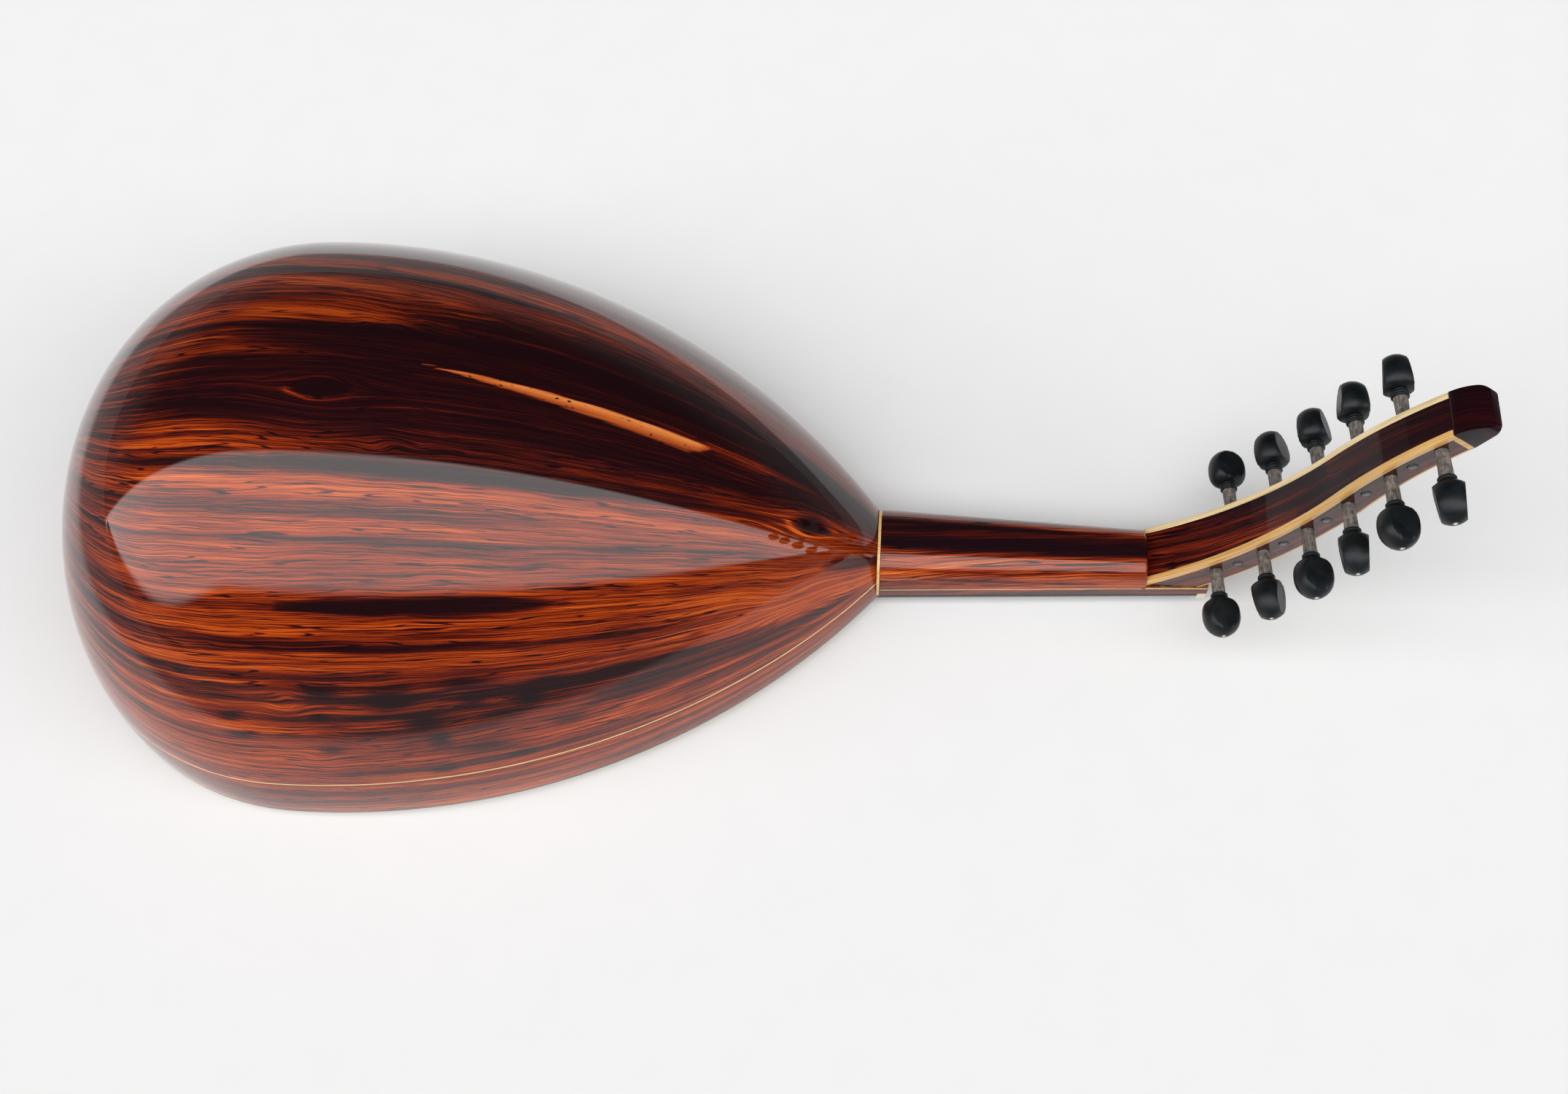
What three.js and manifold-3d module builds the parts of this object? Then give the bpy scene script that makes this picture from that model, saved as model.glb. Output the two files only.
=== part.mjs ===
// An eleven-string oud that lies face down: a bowl of thin bent ribs closed by a soundboard, a short neck,
// and an S-curved pegbox bent back from it, with eleven tapered pegs that turn and their strings.
// Millimetres. X runs from the tail to the head, Y across (left is +Y), Z up out of the back of the bowl.
// Until the last lines X is 0 at the neck joint and Z is 0 in the plane of the bowl's rim.
import * as THREE from 'three';
import { mergeVertices } from 'three/addons/utils/BufferGeometryUtils.js';
import Module from 'manifold-3d';

const wasm = await Module();
wasm.setup();

// Bowl: the rim is three tangent arcs on each side, from the middle of the tail to the neck joint.
const bowlLength = 480;
const tailRadius = 234;
const tailTurnDegrees = 16.7;
const sideRadius = 152;
const sideTurnDegrees = 72;
const jointHalfWidth = 27;
const bowlDepthShare = 1.05;
const ribCount = 12;
const ribThickness = 2.6;
const glueGap = 0.3;
const bandFootHeight = 8;
const bandRiseShare = 0.16;
const claspRadius = 38;
const tailBlockDepth = 16;
const neckBlockDepth = 72;

// Soundboard and what it carries
const soundboardThickness = 2.2;
const mainHoleFromJoint = 158;
const mainHoleRadius = 46;
const sideHoleFromJoint = 246;
const sideHoleFromMiddle = 78;
const sideHoleRadius = 19;
const rosetteSeat = 3.5;
const rosetteThickness = 2.4;
const braceWidth = 6;
const braceHeight = 15;
const braceEndHeight = 5;
const braceEndLength = 22;
const braceToRosette = 5;
const braceToBridgeShare = 0.5;
const braceBehindBridge = 32;
const pickguardLengthShare = 0.568;
const pickguardHalfWidth = 34;
const pickguardThickness = 0.6;
const pickguardFromHole = 12;

// Bridge
const bridgeFromTail = 92;
const bridgeLength = 118;
const bridgeFootWidth = 20;
const bridgeTopWidth = 11;
const bridgeHeight = 10;
const bridgeStep = 4;
const stringHoleRadius = 0.9;
const stringHeightAtBridge = 7.6;
const bridgeCourseSpacing = 15.6;
const bridgePairSpacing = 3.4;

// Neck, fingerboard and nut
const neckLength = 195;
const neckDepthAtJoint = 28.8;
const neckDepthAtNut = 21.8;
const neckFullnessAtJoint = 2.1;
const neckFullnessAtNut = 2.6;
const ringThickness = 1.6;
const fingerboardThickness = 3;
const nutHalfWidth = 17.6;
const nutWidth = 5;
const nutHeight = 4;
const nutSlotDepth = 1;
const nutCourseSpacing = 5.1;
const nutPairSpacing = 2.2;

// Pegbox: its centre line starts under the neck's back and is two arcs that curve opposite ways.
const boxStartBeforeNeckEnd = 23.6;
const boxStartHeight = 9.1;
const boxStartDegrees = 37.3;
const boxFirstRadius = 247;
const boxFirstDegrees = 30.6;
const boxSecondRadius = 245;
const boxLength = 207;
const boxDepthAtNut = 23.5;
const boxDepthAtHead = 18.2;
const boxHalfWidthAtNut = 17.5;
const boxHalfWidthAtHead = 12.5;
const boxWall = 3.6;
const boxBackThickness = 4.4;
const boxSeatLength = 37;
const boxRootHeight = 12.4;
const boxSeatHeight = 8.4;
const boxRootBlock = 27;
const headLength = 18;
const headTipDrop = 4.5;
const headCornerRadius = 4.5;

// Pegs: six have their heads on the right (-Y), and five between them on the left (+Y).
const rightPegCount = 6;
const firstPegAt = 31;
const lastPegToHead = 13.5;
const leftPegOffsetShare = 0.446;
const pegTiltDegrees = 3;
const shankRadiusAtCollar = 3.8;
const shankTaperShare = 0.03;
const shankOutside = 15.2;
const collarLength = 4;
const collarRadius = 4.8;
const pegHeadLength = 22.4;
const pegHeadRadius = 10.6;
const pegHeadHalfThickness = 7.2;
const pegEndProud = 0.5;
const pegClearance = 0.3;

// Strings, from the single bass on the right to the treble pair on the left
const stringRadii = [0.55, 0.5, 0.5, 0.45, 0.45, 0.4, 0.4, 0.4, 0.4, 0.35, 0.35];
const knotRadius = 1.3;
const knotLength = 2.6;
const stringClearance = 0.35;
const laneMargin = 1.5;

const cutOverrun = 2;
const outlineSteps = 18;
const ribSteps = 2;

const radians = THREE.MathUtils.degToRad;

const colours = {
  rosewood: { color: 0x6e2412, roughness: 0.12, metalness: 0 },
  darkRosewood: { color: 0x3a1410, roughness: 0.12, metalness: 0 },
  maple: { color: 0xd9a75c, roughness: 0.25, metalness: 0 },
  spruce: { color: 0xd8b27a, roughness: 0.45, metalness: 0 },
  ebony: { color: 0x11161a, roughness: 0.42, metalness: 0 },
  lime: { color: 0xcfb088, roughness: 0.7, metalness: 0 },
  bone: { color: 0xece2c8, roughness: 0.35, metalness: 0 },
  nylon: { color: 0xe8e4da, roughness: 0.3, metalness: 0 },
  woundWire: { color: 0xb7b3ab, roughness: 0.3, metalness: 0.9 },
};

const oud = new THREE.Group();

function place(name, geometry, finish) {
  const mesh = new THREE.Mesh(geometry, new THREE.MeshStandardMaterial(colours[finish]));
  mesh.name = name;
  oud.add(mesh);
  return mesh;
}

// Geometry helpers

// A closed geometry from points and triangles, turned inside out if its faces point inwards.
function closedGeometry(points, triangles) {
  let volume = 0;
  for (const [a, b, c] of triangles) {
    volume += points[a].dot(new THREE.Vector3().crossVectors(points[b], points[c]));
  }
  const order = volume < 0 ? triangles.map(([a, b, c]) => [a, c, b]) : triangles;
  const geometry = new THREE.BufferGeometry();
  geometry.setAttribute('position', new THREE.Float32BufferAttribute(points.flatMap((p) => p.toArray()), 3));
  geometry.setIndex(order.flat());
  return geometry;
}

// A closed skin between two equal grids of points, such as a rib's outer and inner faces.
function shell(outer, inner) {
  const rows = outer.length;
  const columns = outer[0].length;
  const points = [...outer.flat(), ...inner.flat()];
  const at = (side, row, column) => (side * rows + row) * columns + column;
  const triangles = [];
  const quad = (a, b, c, d) => triangles.push([a, b, c], [a, c, d]);
  for (let row = 0; row + 1 < rows; row += 1) {
    for (let column = 0; column + 1 < columns; column += 1) {
      quad(at(0, row, column), at(0, row + 1, column), at(0, row + 1, column + 1), at(0, row, column + 1));
      quad(at(1, row, column), at(1, row, column + 1), at(1, row + 1, column + 1), at(1, row + 1, column));
    }
    quad(at(0, row, 0), at(1, row, 0), at(1, row + 1, 0), at(0, row + 1, 0));
    const last = columns - 1;
    quad(at(0, row, last), at(0, row + 1, last), at(1, row + 1, last), at(1, row, last));
  }
  for (let column = 0; column + 1 < columns; column += 1) {
    const end = rows - 1;
    quad(at(0, 0, column), at(0, 0, column + 1), at(1, 0, column + 1), at(1, 0, column));
    quad(at(0, end, column), at(1, end, column), at(1, end, column + 1), at(0, end, column + 1));
  }
  return closedGeometry(points, triangles);
}

// Rings of equal length joined one after the other, with a flat cap on the first and the last.
function loft(rings) {
  const count = rings[0].length;
  const points = rings.flat();
  const triangles = [];
  for (let ring = 0; ring + 1 < rings.length; ring += 1) {
    for (let side = 0; side < count; side += 1) {
      const next = (side + 1) % count;
      const low = ring * count;
      const high = low + count;
      triangles.push([low + side, low + next, high + next], [low + side, high + next, high + side]);
    }
  }
  const top = (rings.length - 1) * count;
  for (let side = 1; side + 1 < count; side += 1) {
    triangles.push([0, side + 1, side], [top, top + side, top + side + 1]);
  }
  return closedGeometry(points, triangles);
}

// A plate that stands in the XZ plane. Each outline point has x, z and the lowest and highest y there.
function slab(outline) {
  const turnsRight = THREE.ShapeUtils.isClockWise(outline.map((p) => new THREE.Vector2(p.x, p.z)));
  const ordered = turnsRight ? outline.slice().reverse() : outline;
  const flat = ordered.map((p) => new THREE.Vector2(p.x, p.z));
  const count = ordered.length;
  const points = [
    ...ordered.map((p) => new THREE.Vector3(p.x, p.low, p.z)),
    ...ordered.map((p) => new THREE.Vector3(p.x, p.high, p.z)),
  ];
  const triangles = [];
  for (const [a, b, c] of THREE.ShapeUtils.triangulateShape(flat, [])) {
    const turnsLeft = flat[b].clone().sub(flat[a]).cross(flat[c].clone().sub(flat[b])) > 0;
    const low = turnsLeft ? [a, b, c] : [a, c, b];
    triangles.push(low, [low[2] + count, low[1] + count, low[0] + count]);
  }
  for (let i = 0; i < count; i += 1) {
    const next = (i + 1) % count;
    triangles.push([i, i + count, next + count], [i, next + count, next]);
  }
  return closedGeometry(points, triangles);
}

// A flat shape in the XY plane, extruded from z = base to z = base + height.
function plate(shape, base, height, curveSegments) {
  const geometry = new THREE.ExtrudeGeometry(shape, { depth: height, bevelEnabled: false, curveSegments });
  return geometry.translate(0, 0, base);
}

// A round tube along points that lie nearly in the XZ plane, with its own radius at each point.
function tube(points, radii, sides) {
  const across = new THREE.Vector3(0, 1, 0);
  const rings = points.map((point, i) => {
    const before = points[Math.max(i - 1, 0)];
    const after = points[Math.min(i + 1, points.length - 1)];
    const along = after.clone().sub(before).normalize();
    const up = new THREE.Vector3().crossVectors(along, across).normalize();
    const right = new THREE.Vector3().crossVectors(up, along);
    return Array.from({ length: sides }, (_, side) => {
      const angle = (2 * Math.PI * side) / sides;
      return point.clone()
        .addScaledVector(right, radii[i] * Math.cos(angle))
        .addScaledVector(up, radii[i] * Math.sin(angle));
    });
  });
  return loft(rings);
}

function toSolid(geometry) {
  const bare = geometry.clone();
  bare.deleteAttribute('normal');
  bare.deleteAttribute('uv');
  const merged = mergeVertices(bare);
  return new wasm.Manifold(new wasm.Mesh({
    numProp: 3,
    vertProperties: new Float32Array(merged.attributes.position.array),
    triVerts: new Uint32Array(merged.index.array),
  }));
}

function fromSolid(solid) {
  const mesh = solid.getMesh();
  const geometry = new THREE.BufferGeometry();
  geometry.setAttribute('position', new THREE.BufferAttribute(new Float32Array(mesh.vertProperties), 3));
  geometry.setIndex(new THREE.BufferAttribute(new Uint32Array(mesh.triVerts), 1));
  return geometry;
}

function cut(geometry, cutters) {
  const solid = cutters.reduce((left, cutter) => left.subtract(toSolid(cutter)), toSolid(geometry));
  return fromSolid(solid);
}

function shared(geometry, other) {
  return fromSolid(toSolid(geometry).intersect(toSolid(other)));
}

// Bowl

function arcEnd(start, radius, angle) {
  const heading = start.heading - angle;
  return {
    x: start.x + radius * (Math.sin(start.heading) - Math.sin(heading)),
    y: start.y + radius * (Math.cos(heading) - Math.cos(start.heading)),
    heading,
  };
}

const tailPoint = { x: -bowlLength, y: 0, heading: Math.PI / 2 };
const tailArcEnd = arcEnd(tailPoint, tailRadius, radians(tailTurnDegrees));
const sideArcEnd = arcEnd(tailArcEnd, sideRadius, radians(sideTurnDegrees));
const flankChord = Math.hypot(sideArcEnd.x, jointHalfWidth - sideArcEnd.y);
const flankSlope = Math.atan2(jointHalfWidth - sideArcEnd.y, -sideArcEnd.x);
const flankTurn = 2 * (sideArcEnd.heading - flankSlope);
const flankRadius = flankChord / 2 / Math.sin(flankTurn / 2);
const rimArcs = [
  { start: tailPoint, radius: tailRadius, turn: radians(tailTurnDegrees) },
  { start: tailArcEnd, radius: sideRadius, turn: radians(sideTurnDegrees) },
  { start: sideArcEnd, radius: flankRadius, turn: flankTurn },
];
const rimLength = rimArcs.reduce((sum, arc) => sum + arc.radius * arc.turn, 0);

// The rim's point at a distance along it from the middle of the tail.
function rimAt(distance) {
  let rest = distance;
  for (const arc of rimArcs) {
    const length = arc.radius * arc.turn;
    if (rest <= length || arc === rimArcs[2]) {
      return arcEnd(arc.start, arc.radius, rest / arc.radius);
    }
    rest -= length;
  }
  return null;
}

// Half the width inside the ribs at a given x: the place on the rim is found by halving.
function innerHalfWidthAt(x) {
  let low = 0;
  let high = rimLength;
  for (let step = 0; step < 40; step += 1) {
    const middle = (low + high) / 2;
    if (rimAt(middle).x < x) low = middle;
    else high = middle;
  }
  const rim = rimAt(low);
  return rim.y - (ribThickness + 2 * glueGap) / Math.cos(rim.heading);
}

// A point of the bowl's skin: angle 0 is the right rim, 90 degrees the ridge and 180 degrees the left rim.
function bowlPoint(distance, angle, inset) {
  const rim = rimAt(distance);
  const outward = new THREE.Vector3(
    -Math.sin(rim.heading),
    -Math.cos(angle) * Math.cos(rim.heading),
    (Math.sin(angle) * Math.cos(rim.heading)) / bowlDepthShare,
  ).normalize();
  return new THREE.Vector3(rim.x, -rim.y * Math.cos(angle), bowlDepthShare * rim.y * Math.sin(angle))
    .addScaledVector(outward, -inset);
}

// The angle of the seam over the rim band, whose height grows with the half-width of the bowl.
function bandAngle(distance) {
  const halfWidth = rimAt(distance).y;
  const height = bandFootHeight + bandRiseShare * halfWidth;
  return Math.asin(height / (bowlDepthShare * halfWidth));
}

const claspEdge = tailRadius * Math.asin(claspRadius / tailRadius);

// One stave from the clasp to the neck joint, between two seams.
function stave(lowAngleAt, highAngleAt, steps) {
  const start = claspEdge + glueGap;
  const end = rimLength - glueGap;
  const grid = (inset) => Array.from({ length: outlineSteps + 1 }, (_, row) => {
    const distance = start + ((end - start) * row) / outlineSteps;
    const margin = glueGap / 2 / (bowlDepthShare * rimAt(distance).y);
    const low = lowAngleAt(distance) + (lowAngleAt(distance) > 0 ? margin : 0);
    const high = highAngleAt(distance) - (highAngleAt(distance) < Math.PI ? margin : 0);
    return Array.from({ length: steps + 1 }, (__, column) => (
      bowlPoint(distance, low + ((high - low) * column) / steps, inset)
    ));
  });
  return shell(grid(0), grid(ribThickness));
}

function seamAngle(index) {
  return (distance) => {
    const band = bandAngle(distance);
    return band + ((Math.PI - 2 * band) * index) / ribCount;
  };
}

for (let index = 0; index < ribCount; index += 1) {
  const finish = index % 2 ? 'rosewood' : 'darkRosewood';
  place(`rib_${index + 1}`, stave(seamAngle(index), seamAngle(index + 1), ribSteps), finish);
}
place('rim_band_right', stave(() => 0, seamAngle(0), ribSteps), 'rosewood');
place('rim_band_left', stave(seamAngle(ribCount), () => Math.PI, ribSteps), 'rosewood');

// The half-round clasp that covers the ends of the ribs at the tail: a fan of rings about its middle.
function claspRings(inset) {
  const reachShares = [1, 0.66, 0.33];
  const rings = reachShares.map((share) => Array.from({ length: ribCount + 1 }, (_, column) => (
    bowlPoint(claspEdge * share, (Math.PI * column) / ribCount, inset)
  )));
  return [...rings, Array(ribCount + 1).fill(new THREE.Vector3(-bowlLength + inset, 0, 0))];
}

function clasp() {
  return fromSolid(toSolid(shell(claspRings(0), claspRings(ribThickness))));
}
place('end_clasp', clasp(), 'darkRosewood');

// A section across the inside of the bowl at a place on the rim, flat over the soundboard.
function innerSection(distance) {
  const inset = ribThickness + 2 * glueGap;
  return Array.from({ length: ribCount + 1 }, (_, column) => {
    const point = bowlPoint(distance, (Math.PI * column) / ribCount, inset);
    point.z = Math.max(point.z, 0);
    return point;
  });
}

function neckBlock() {
  const steps = 3;
  const start = rimLength - neckBlockDepth;
  return loft(Array.from({ length: steps + 1 }, (_, i) => (
    innerSection(start + ((neckBlockDepth - glueGap) * i) / steps)
  )));
}
place('neck_block', neckBlock(), 'lime');

// The tail block follows the clasp's curve behind the ends of the ribs, and is flat inside the bowl.
function tailBlock() {
  const edge = claspEdge - ribThickness;
  const face = innerSection(edge).map((p) => p.add(new THREE.Vector3(tailBlockDepth, 0, 0)));
  const reachShares = [0.33, 0.66, 1];
  return loft([...reachShares.map((share) => innerSection(edge * share)), face]);
}
place('tail_block', tailBlock(), 'lime');

// Soundboard

function rimShape(inset) {
  const count = outlineSteps + 8;
  const left = Array.from({ length: count + 1 }, (_, i) => {
    const rim = rimAt((rimLength * i) / count);
    return new THREE.Vector2(
      rim.x + inset * Math.sin(rim.heading),
      rim.y - inset * Math.cos(rim.heading),
    );
  });
  const right = left.slice(1).reverse().map((p) => new THREE.Vector2(p.x, -p.y));
  return new THREE.Shape([...right, ...left]);
}

function circlePoints(x, y, radius, sides) {
  return Array.from({ length: sides }, (_, i) => {
    const angle = (2 * Math.PI * i) / sides;
    return new THREE.Vector2(x + radius * Math.cos(angle), y + radius * Math.sin(angle));
  });
}

const soundboardShape = rimShape(0);
soundboardShape.holes.push(
  new THREE.Path(circlePoints(-mainHoleFromJoint, 0, mainHoleRadius, 28)),
  new THREE.Path(circlePoints(-sideHoleFromJoint, sideHoleFromMiddle, sideHoleRadius, 18)),
  new THREE.Path(circlePoints(-sideHoleFromJoint, -sideHoleFromMiddle, sideHoleRadius, 18)),
);
place('soundboard', plate(soundboardShape, -soundboardThickness, soundboardThickness), 'spruce');

// A pierced disc on the inner face of the soundboard: rings of round openings about a middle one.
function rosette(x, y, holeRadius, rings) {
  const shape = new THREE.Shape(circlePoints(x, y, holeRadius + rosetteSeat, 24));
  for (const { count, placeShare, sizeShare } of rings) {
    for (let i = 0; i < count; i += 1) {
      const angle = (2 * Math.PI * i) / count;
      const reach = placeShare * holeRadius;
      const centreX = x + reach * Math.cos(angle);
      const centreY = y + reach * Math.sin(angle);
      shape.holes.push(new THREE.Path(circlePoints(centreX, centreY, sizeShare * holeRadius, 8)));
    }
  }
  return plate(shape, 0, rosetteThickness);
}

const mainRosetteRings = [
  { count: 1, placeShare: 0, sizeShare: 0.12 },
  { count: 6, placeShare: 0.3, sizeShare: 0.11 },
  { count: 12, placeShare: 0.56, sizeShare: 0.105 },
  { count: 16, placeShare: 0.83, sizeShare: 0.12 },
];
const sideRosetteRings = [
  { count: 1, placeShare: 0, sizeShare: 0.22 },
  { count: 8, placeShare: 0.62, sizeShare: 0.19 },
];
place('main_rosette', rosette(-mainHoleFromJoint, 0, mainHoleRadius, mainRosetteRings), 'maple');
place(
  'side_rosette_left',
  rosette(-sideHoleFromJoint, sideHoleFromMiddle, sideHoleRadius, sideRosetteRings),
  'maple',
);
place(
  'side_rosette_right',
  rosette(-sideHoleFromJoint, -sideHoleFromMiddle, sideHoleRadius, sideRosetteRings),
  'maple',
);

// Braces stand on the inner face across the bowl, and their ends are scooped down towards the ribs.
const bridgeX = bridgeFromTail - bowlLength;
const holeToBrace = rosetteSeat + braceToRosette + braceWidth / 2;
const lastHoleBraceX = -sideHoleFromJoint - sideHoleRadius - holeToBrace;
const braceXs = [
  -mainHoleFromJoint + mainHoleRadius + holeToBrace,
  -mainHoleFromJoint - mainHoleRadius - holeToBrace,
  lastHoleBraceX,
  THREE.MathUtils.lerp(lastHoleBraceX, bridgeX, braceToBridgeShare),
  bridgeX - braceBehindBridge,
];

function brace(x) {
  const wall = Math.min(innerHalfWidthAt(x - braceWidth / 2), innerHalfWidthAt(x + braceWidth / 2));
  const reach = Math.sqrt(wall ** 2 - (braceHeight / bowlDepthShare) ** 2);
  const section = new THREE.Shape([
    new THREE.Vector2(-reach, 0),
    new THREE.Vector2(reach, 0),
    new THREE.Vector2(reach, braceEndHeight),
    new THREE.Vector2(reach - braceEndLength, braceHeight),
    new THREE.Vector2(braceEndLength - reach, braceHeight),
    new THREE.Vector2(-reach, braceEndHeight),
  ]);
  const geometry = new THREE.ExtrudeGeometry(section, { depth: braceWidth, bevelEnabled: false });
  return geometry.rotateX(Math.PI / 2).rotateZ(Math.PI / 2).translate(x - braceWidth / 2, 0, 0);
}

braceXs.forEach((x, index) => place(`brace_${index + 1}`, brace(x), 'spruce'));

// The pickguard is a drop with its round end towards the bridge.
function pickguard() {
  const pointX = -mainHoleFromJoint - mainHoleRadius - pickguardFromHole;
  const length = pickguardLengthShare * (pointX - bridgeX - bridgeFootWidth / 2);
  const roundX = pointX - length + pickguardHalfWidth;
  const shape = new THREE.Shape();
  shape.moveTo(pointX, 0);
  shape.quadraticCurveTo((pointX + roundX) / 2, pickguardHalfWidth, roundX, pickguardHalfWidth);
  shape.absarc(roundX, 0, pickguardHalfWidth, Math.PI / 2, (3 * Math.PI) / 2, false);
  shape.quadraticCurveTo((pointX + roundX) / 2, -pickguardHalfWidth, pointX, 0);
  return plate(shape, -soundboardThickness - pickguardThickness, pickguardThickness, 12);
}
place('pickguard', pickguard(), 'darkRosewood');

// Strings are counted from the right: one bass, then five pairs.
function courseOffset(index, courseSpacing, pairSpacing) {
  const course = Math.ceil(index / 2);
  const middleCourse = (stringRadii.length - 1) / 4;
  const side = index === 0 ? 0 : (index % 2 ? -1 : 1);
  return (course - middleCourse) * courseSpacing + (side * pairSpacing) / 2;
}

const bridgeTopZ = -soundboardThickness - bridgeHeight;
const stringZAtBridge = -soundboardThickness - stringHeightAtBridge;

function bridge() {
  const front = bridgeX + bridgeFootWidth / 2;
  const back = bridgeX - bridgeFootWidth / 2;
  const ledge = -soundboardThickness - bridgeStep;
  const outline = [
    [back, -soundboardThickness], [front, -soundboardThickness], [front, ledge],
    [bridgeX + bridgeTopWidth / 2, bridgeTopZ], [bridgeX - bridgeTopWidth / 2, bridgeTopZ], [back, ledge],
  ].map(([x, z]) => ({ x, z, low: -bridgeLength / 2, high: bridgeLength / 2 }));
  const holes = stringRadii.map((_, index) => (
    new THREE.CylinderGeometry(stringHoleRadius, stringHoleRadius, bridgeFootWidth + cutOverrun, 8)
      .rotateZ(Math.PI / 2)
      .translate(bridgeX, courseOffset(index, bridgeCourseSpacing, bridgePairSpacing), stringZAtBridge)
  ));
  return cut(slab(outline), holes);
}
place('bridge', bridge(), 'darkRosewood');

// Neck

const boxRootX = neckLength - boxSeatLength;
const boxStartX = neckLength - boxStartBeforeNeckEnd;
const neckFaceZ = fingerboardThickness - soundboardThickness;
const neckStartX = ringThickness + glueGap;
const nutStartX = neckLength - nutWidth;

function blendOnNeck(x, atJoint, atNut) {
  return atJoint + ((atNut - atJoint) * x) / neckLength;
}

// Half of a rounded square: fullness 2 is an ellipse, and more makes its shoulders fuller.
function neckSection(x, halfWidth, depth, fullness) {
  const steps = 12;
  return Array.from({ length: steps + 1 }, (_, i) => {
    const angle = (Math.PI * i) / steps;
    const side = Math.sign(Math.cos(angle)) * Math.abs(Math.cos(angle)) ** (2 / fullness);
    const rise = Math.abs(Math.sin(angle)) ** (2 / fullness);
    return new THREE.Vector3(x, halfWidth * side, neckFaceZ + (depth - neckFaceZ) * rise);
  });
}

function neckSectionAt(x) {
  return neckSection(
    x,
    blendOnNeck(x, jointHalfWidth, nutHalfWidth),
    blendOnNeck(x, neckDepthAtJoint, neckDepthAtNut),
    blendOnNeck(x, neckFullnessAtJoint, neckFullnessAtNut),
  );
}

// The pegbox stands on a sloping seat at the end of the neck, which is cut away above it.
function seatZ(x) {
  return boxRootHeight + ((boxSeatHeight - boxRootHeight) * (x - boxRootX)) / boxSeatLength;
}

function neck() {
  const stations = 7;
  const rings = Array.from({ length: stations + 1 }, (_, i) => (
    neckSectionAt(neckStartX + ((neckLength - neckStartX) * i) / stations)
  ));
  const high = 2 * neckDepthAtJoint;
  const far = neckLength + cutOverrun;
  const wide = 2 * jointHalfWidth;
  const away = [[boxRootX, boxRootHeight], [far, seatZ(far)], [far, high], [boxRootX, high]]
    .map(([x, z]) => ({ x, z, low: -wide, high: wide }));
  return cut(loft(rings), [slab(away)]);
}
place('neck', neck(), 'rosewood');

function jointRing() {
  const section = (x) => neckSection(x, jointHalfWidth, neckDepthAtJoint, neckFullnessAtJoint);
  return loft([section(0), section(ringThickness)]);
}
place('joint_ring', jointRing(), 'maple');

function fingerboard() {
  const nutHalf = blendOnNeck(nutStartX, jointHalfWidth, nutHalfWidth);
  const shape = new THREE.Shape([
    new THREE.Vector2(glueGap, -jointHalfWidth),
    new THREE.Vector2(nutStartX - glueGap, -nutHalf),
    new THREE.Vector2(nutStartX - glueGap, nutHalf),
    new THREE.Vector2(glueGap, jointHalfWidth),
  ]);
  return plate(shape, -soundboardThickness, fingerboardThickness);
}

const nutTopZ = -soundboardThickness - nutHeight;

function nutStringZ(index) {
  return nutTopZ + nutSlotDepth - stringRadii[index] - stringClearance;
}

function nut() {
  const height = neckFaceZ - nutTopZ;
  const block = new THREE.BoxGeometry(nutWidth, 2 * nutHalfWidth, height)
    .translate(nutStartX + nutWidth / 2, 0, nutTopZ + height / 2);
  const slots = stringRadii.map((radius, index) => (
    new THREE.BoxGeometry(nutWidth + cutOverrun, 2 * (radius + stringClearance), 2 * nutSlotDepth)
      .translate(nutStartX + nutWidth / 2, courseOffset(index, nutCourseSpacing, nutPairSpacing), nutTopZ)
  ));
  return cut(block, slots);
}
place('fingerboard', fingerboard(), 'ebony');
place('nut', nut(), 'bone');

// Pegbox

// A point of the pegbox at a distance along its centre line and a rise from it towards the back.
function boxAt(distance, rise) {
  const firstTurn = radians(boxFirstDegrees);
  const firstLength = boxFirstRadius * firstTurn;
  const startHeading = radians(boxStartDegrees);
  const onFirst = Math.min(distance, firstLength) / boxFirstRadius;
  const onSecond = Math.max(distance - firstLength, 0) / boxSecondRadius;
  const middleHeading = startHeading + onFirst;
  const heading = middleHeading - onSecond;
  const firstX = boxFirstRadius * (Math.sin(middleHeading) - Math.sin(startHeading));
  const firstZ = boxFirstRadius * (Math.cos(startHeading) - Math.cos(middleHeading));
  const secondX = boxSecondRadius * (Math.sin(middleHeading) - Math.sin(heading));
  const secondZ = boxSecondRadius * (Math.cos(heading) - Math.cos(middleHeading));
  return {
    x: boxStartX + firstX + secondX - rise * Math.sin(heading),
    z: boxStartHeight + firstZ + secondZ + rise * Math.cos(heading),
    heading,
  };
}

function boxHalfDepth(distance) {
  return (boxDepthAtNut + ((boxDepthAtHead - boxDepthAtNut) * distance) / boxLength) / 2;
}

function boxHalfWidth(distance) {
  return boxHalfWidthAtNut + ((boxHalfWidthAtHead - boxHalfWidthAtNut) * distance) / boxLength;
}

const boxRearStart = -boxRootBlock;
const boxSteps = 15;

// The side view of one piece of the pegbox, between two rises, with its sides taken from the half-width.
function boxStrip(riseLow, riseHigh, yLow, yHigh, start) {
  const side = (riseAt, reversed) => {
    const points = Array.from({ length: boxSteps + 1 }, (_, i) => {
      const distance = start + ((boxLength - glueGap - start) * i) / boxSteps;
      const { x, z } = boxAt(distance, riseAt(distance));
      return { x, z, low: yLow(distance), high: yHigh(distance) };
    });
    return reversed ? points.reverse() : points;
  };
  return slab([...side(riseLow, false), ...side(riseHigh, true)]);
}

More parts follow.
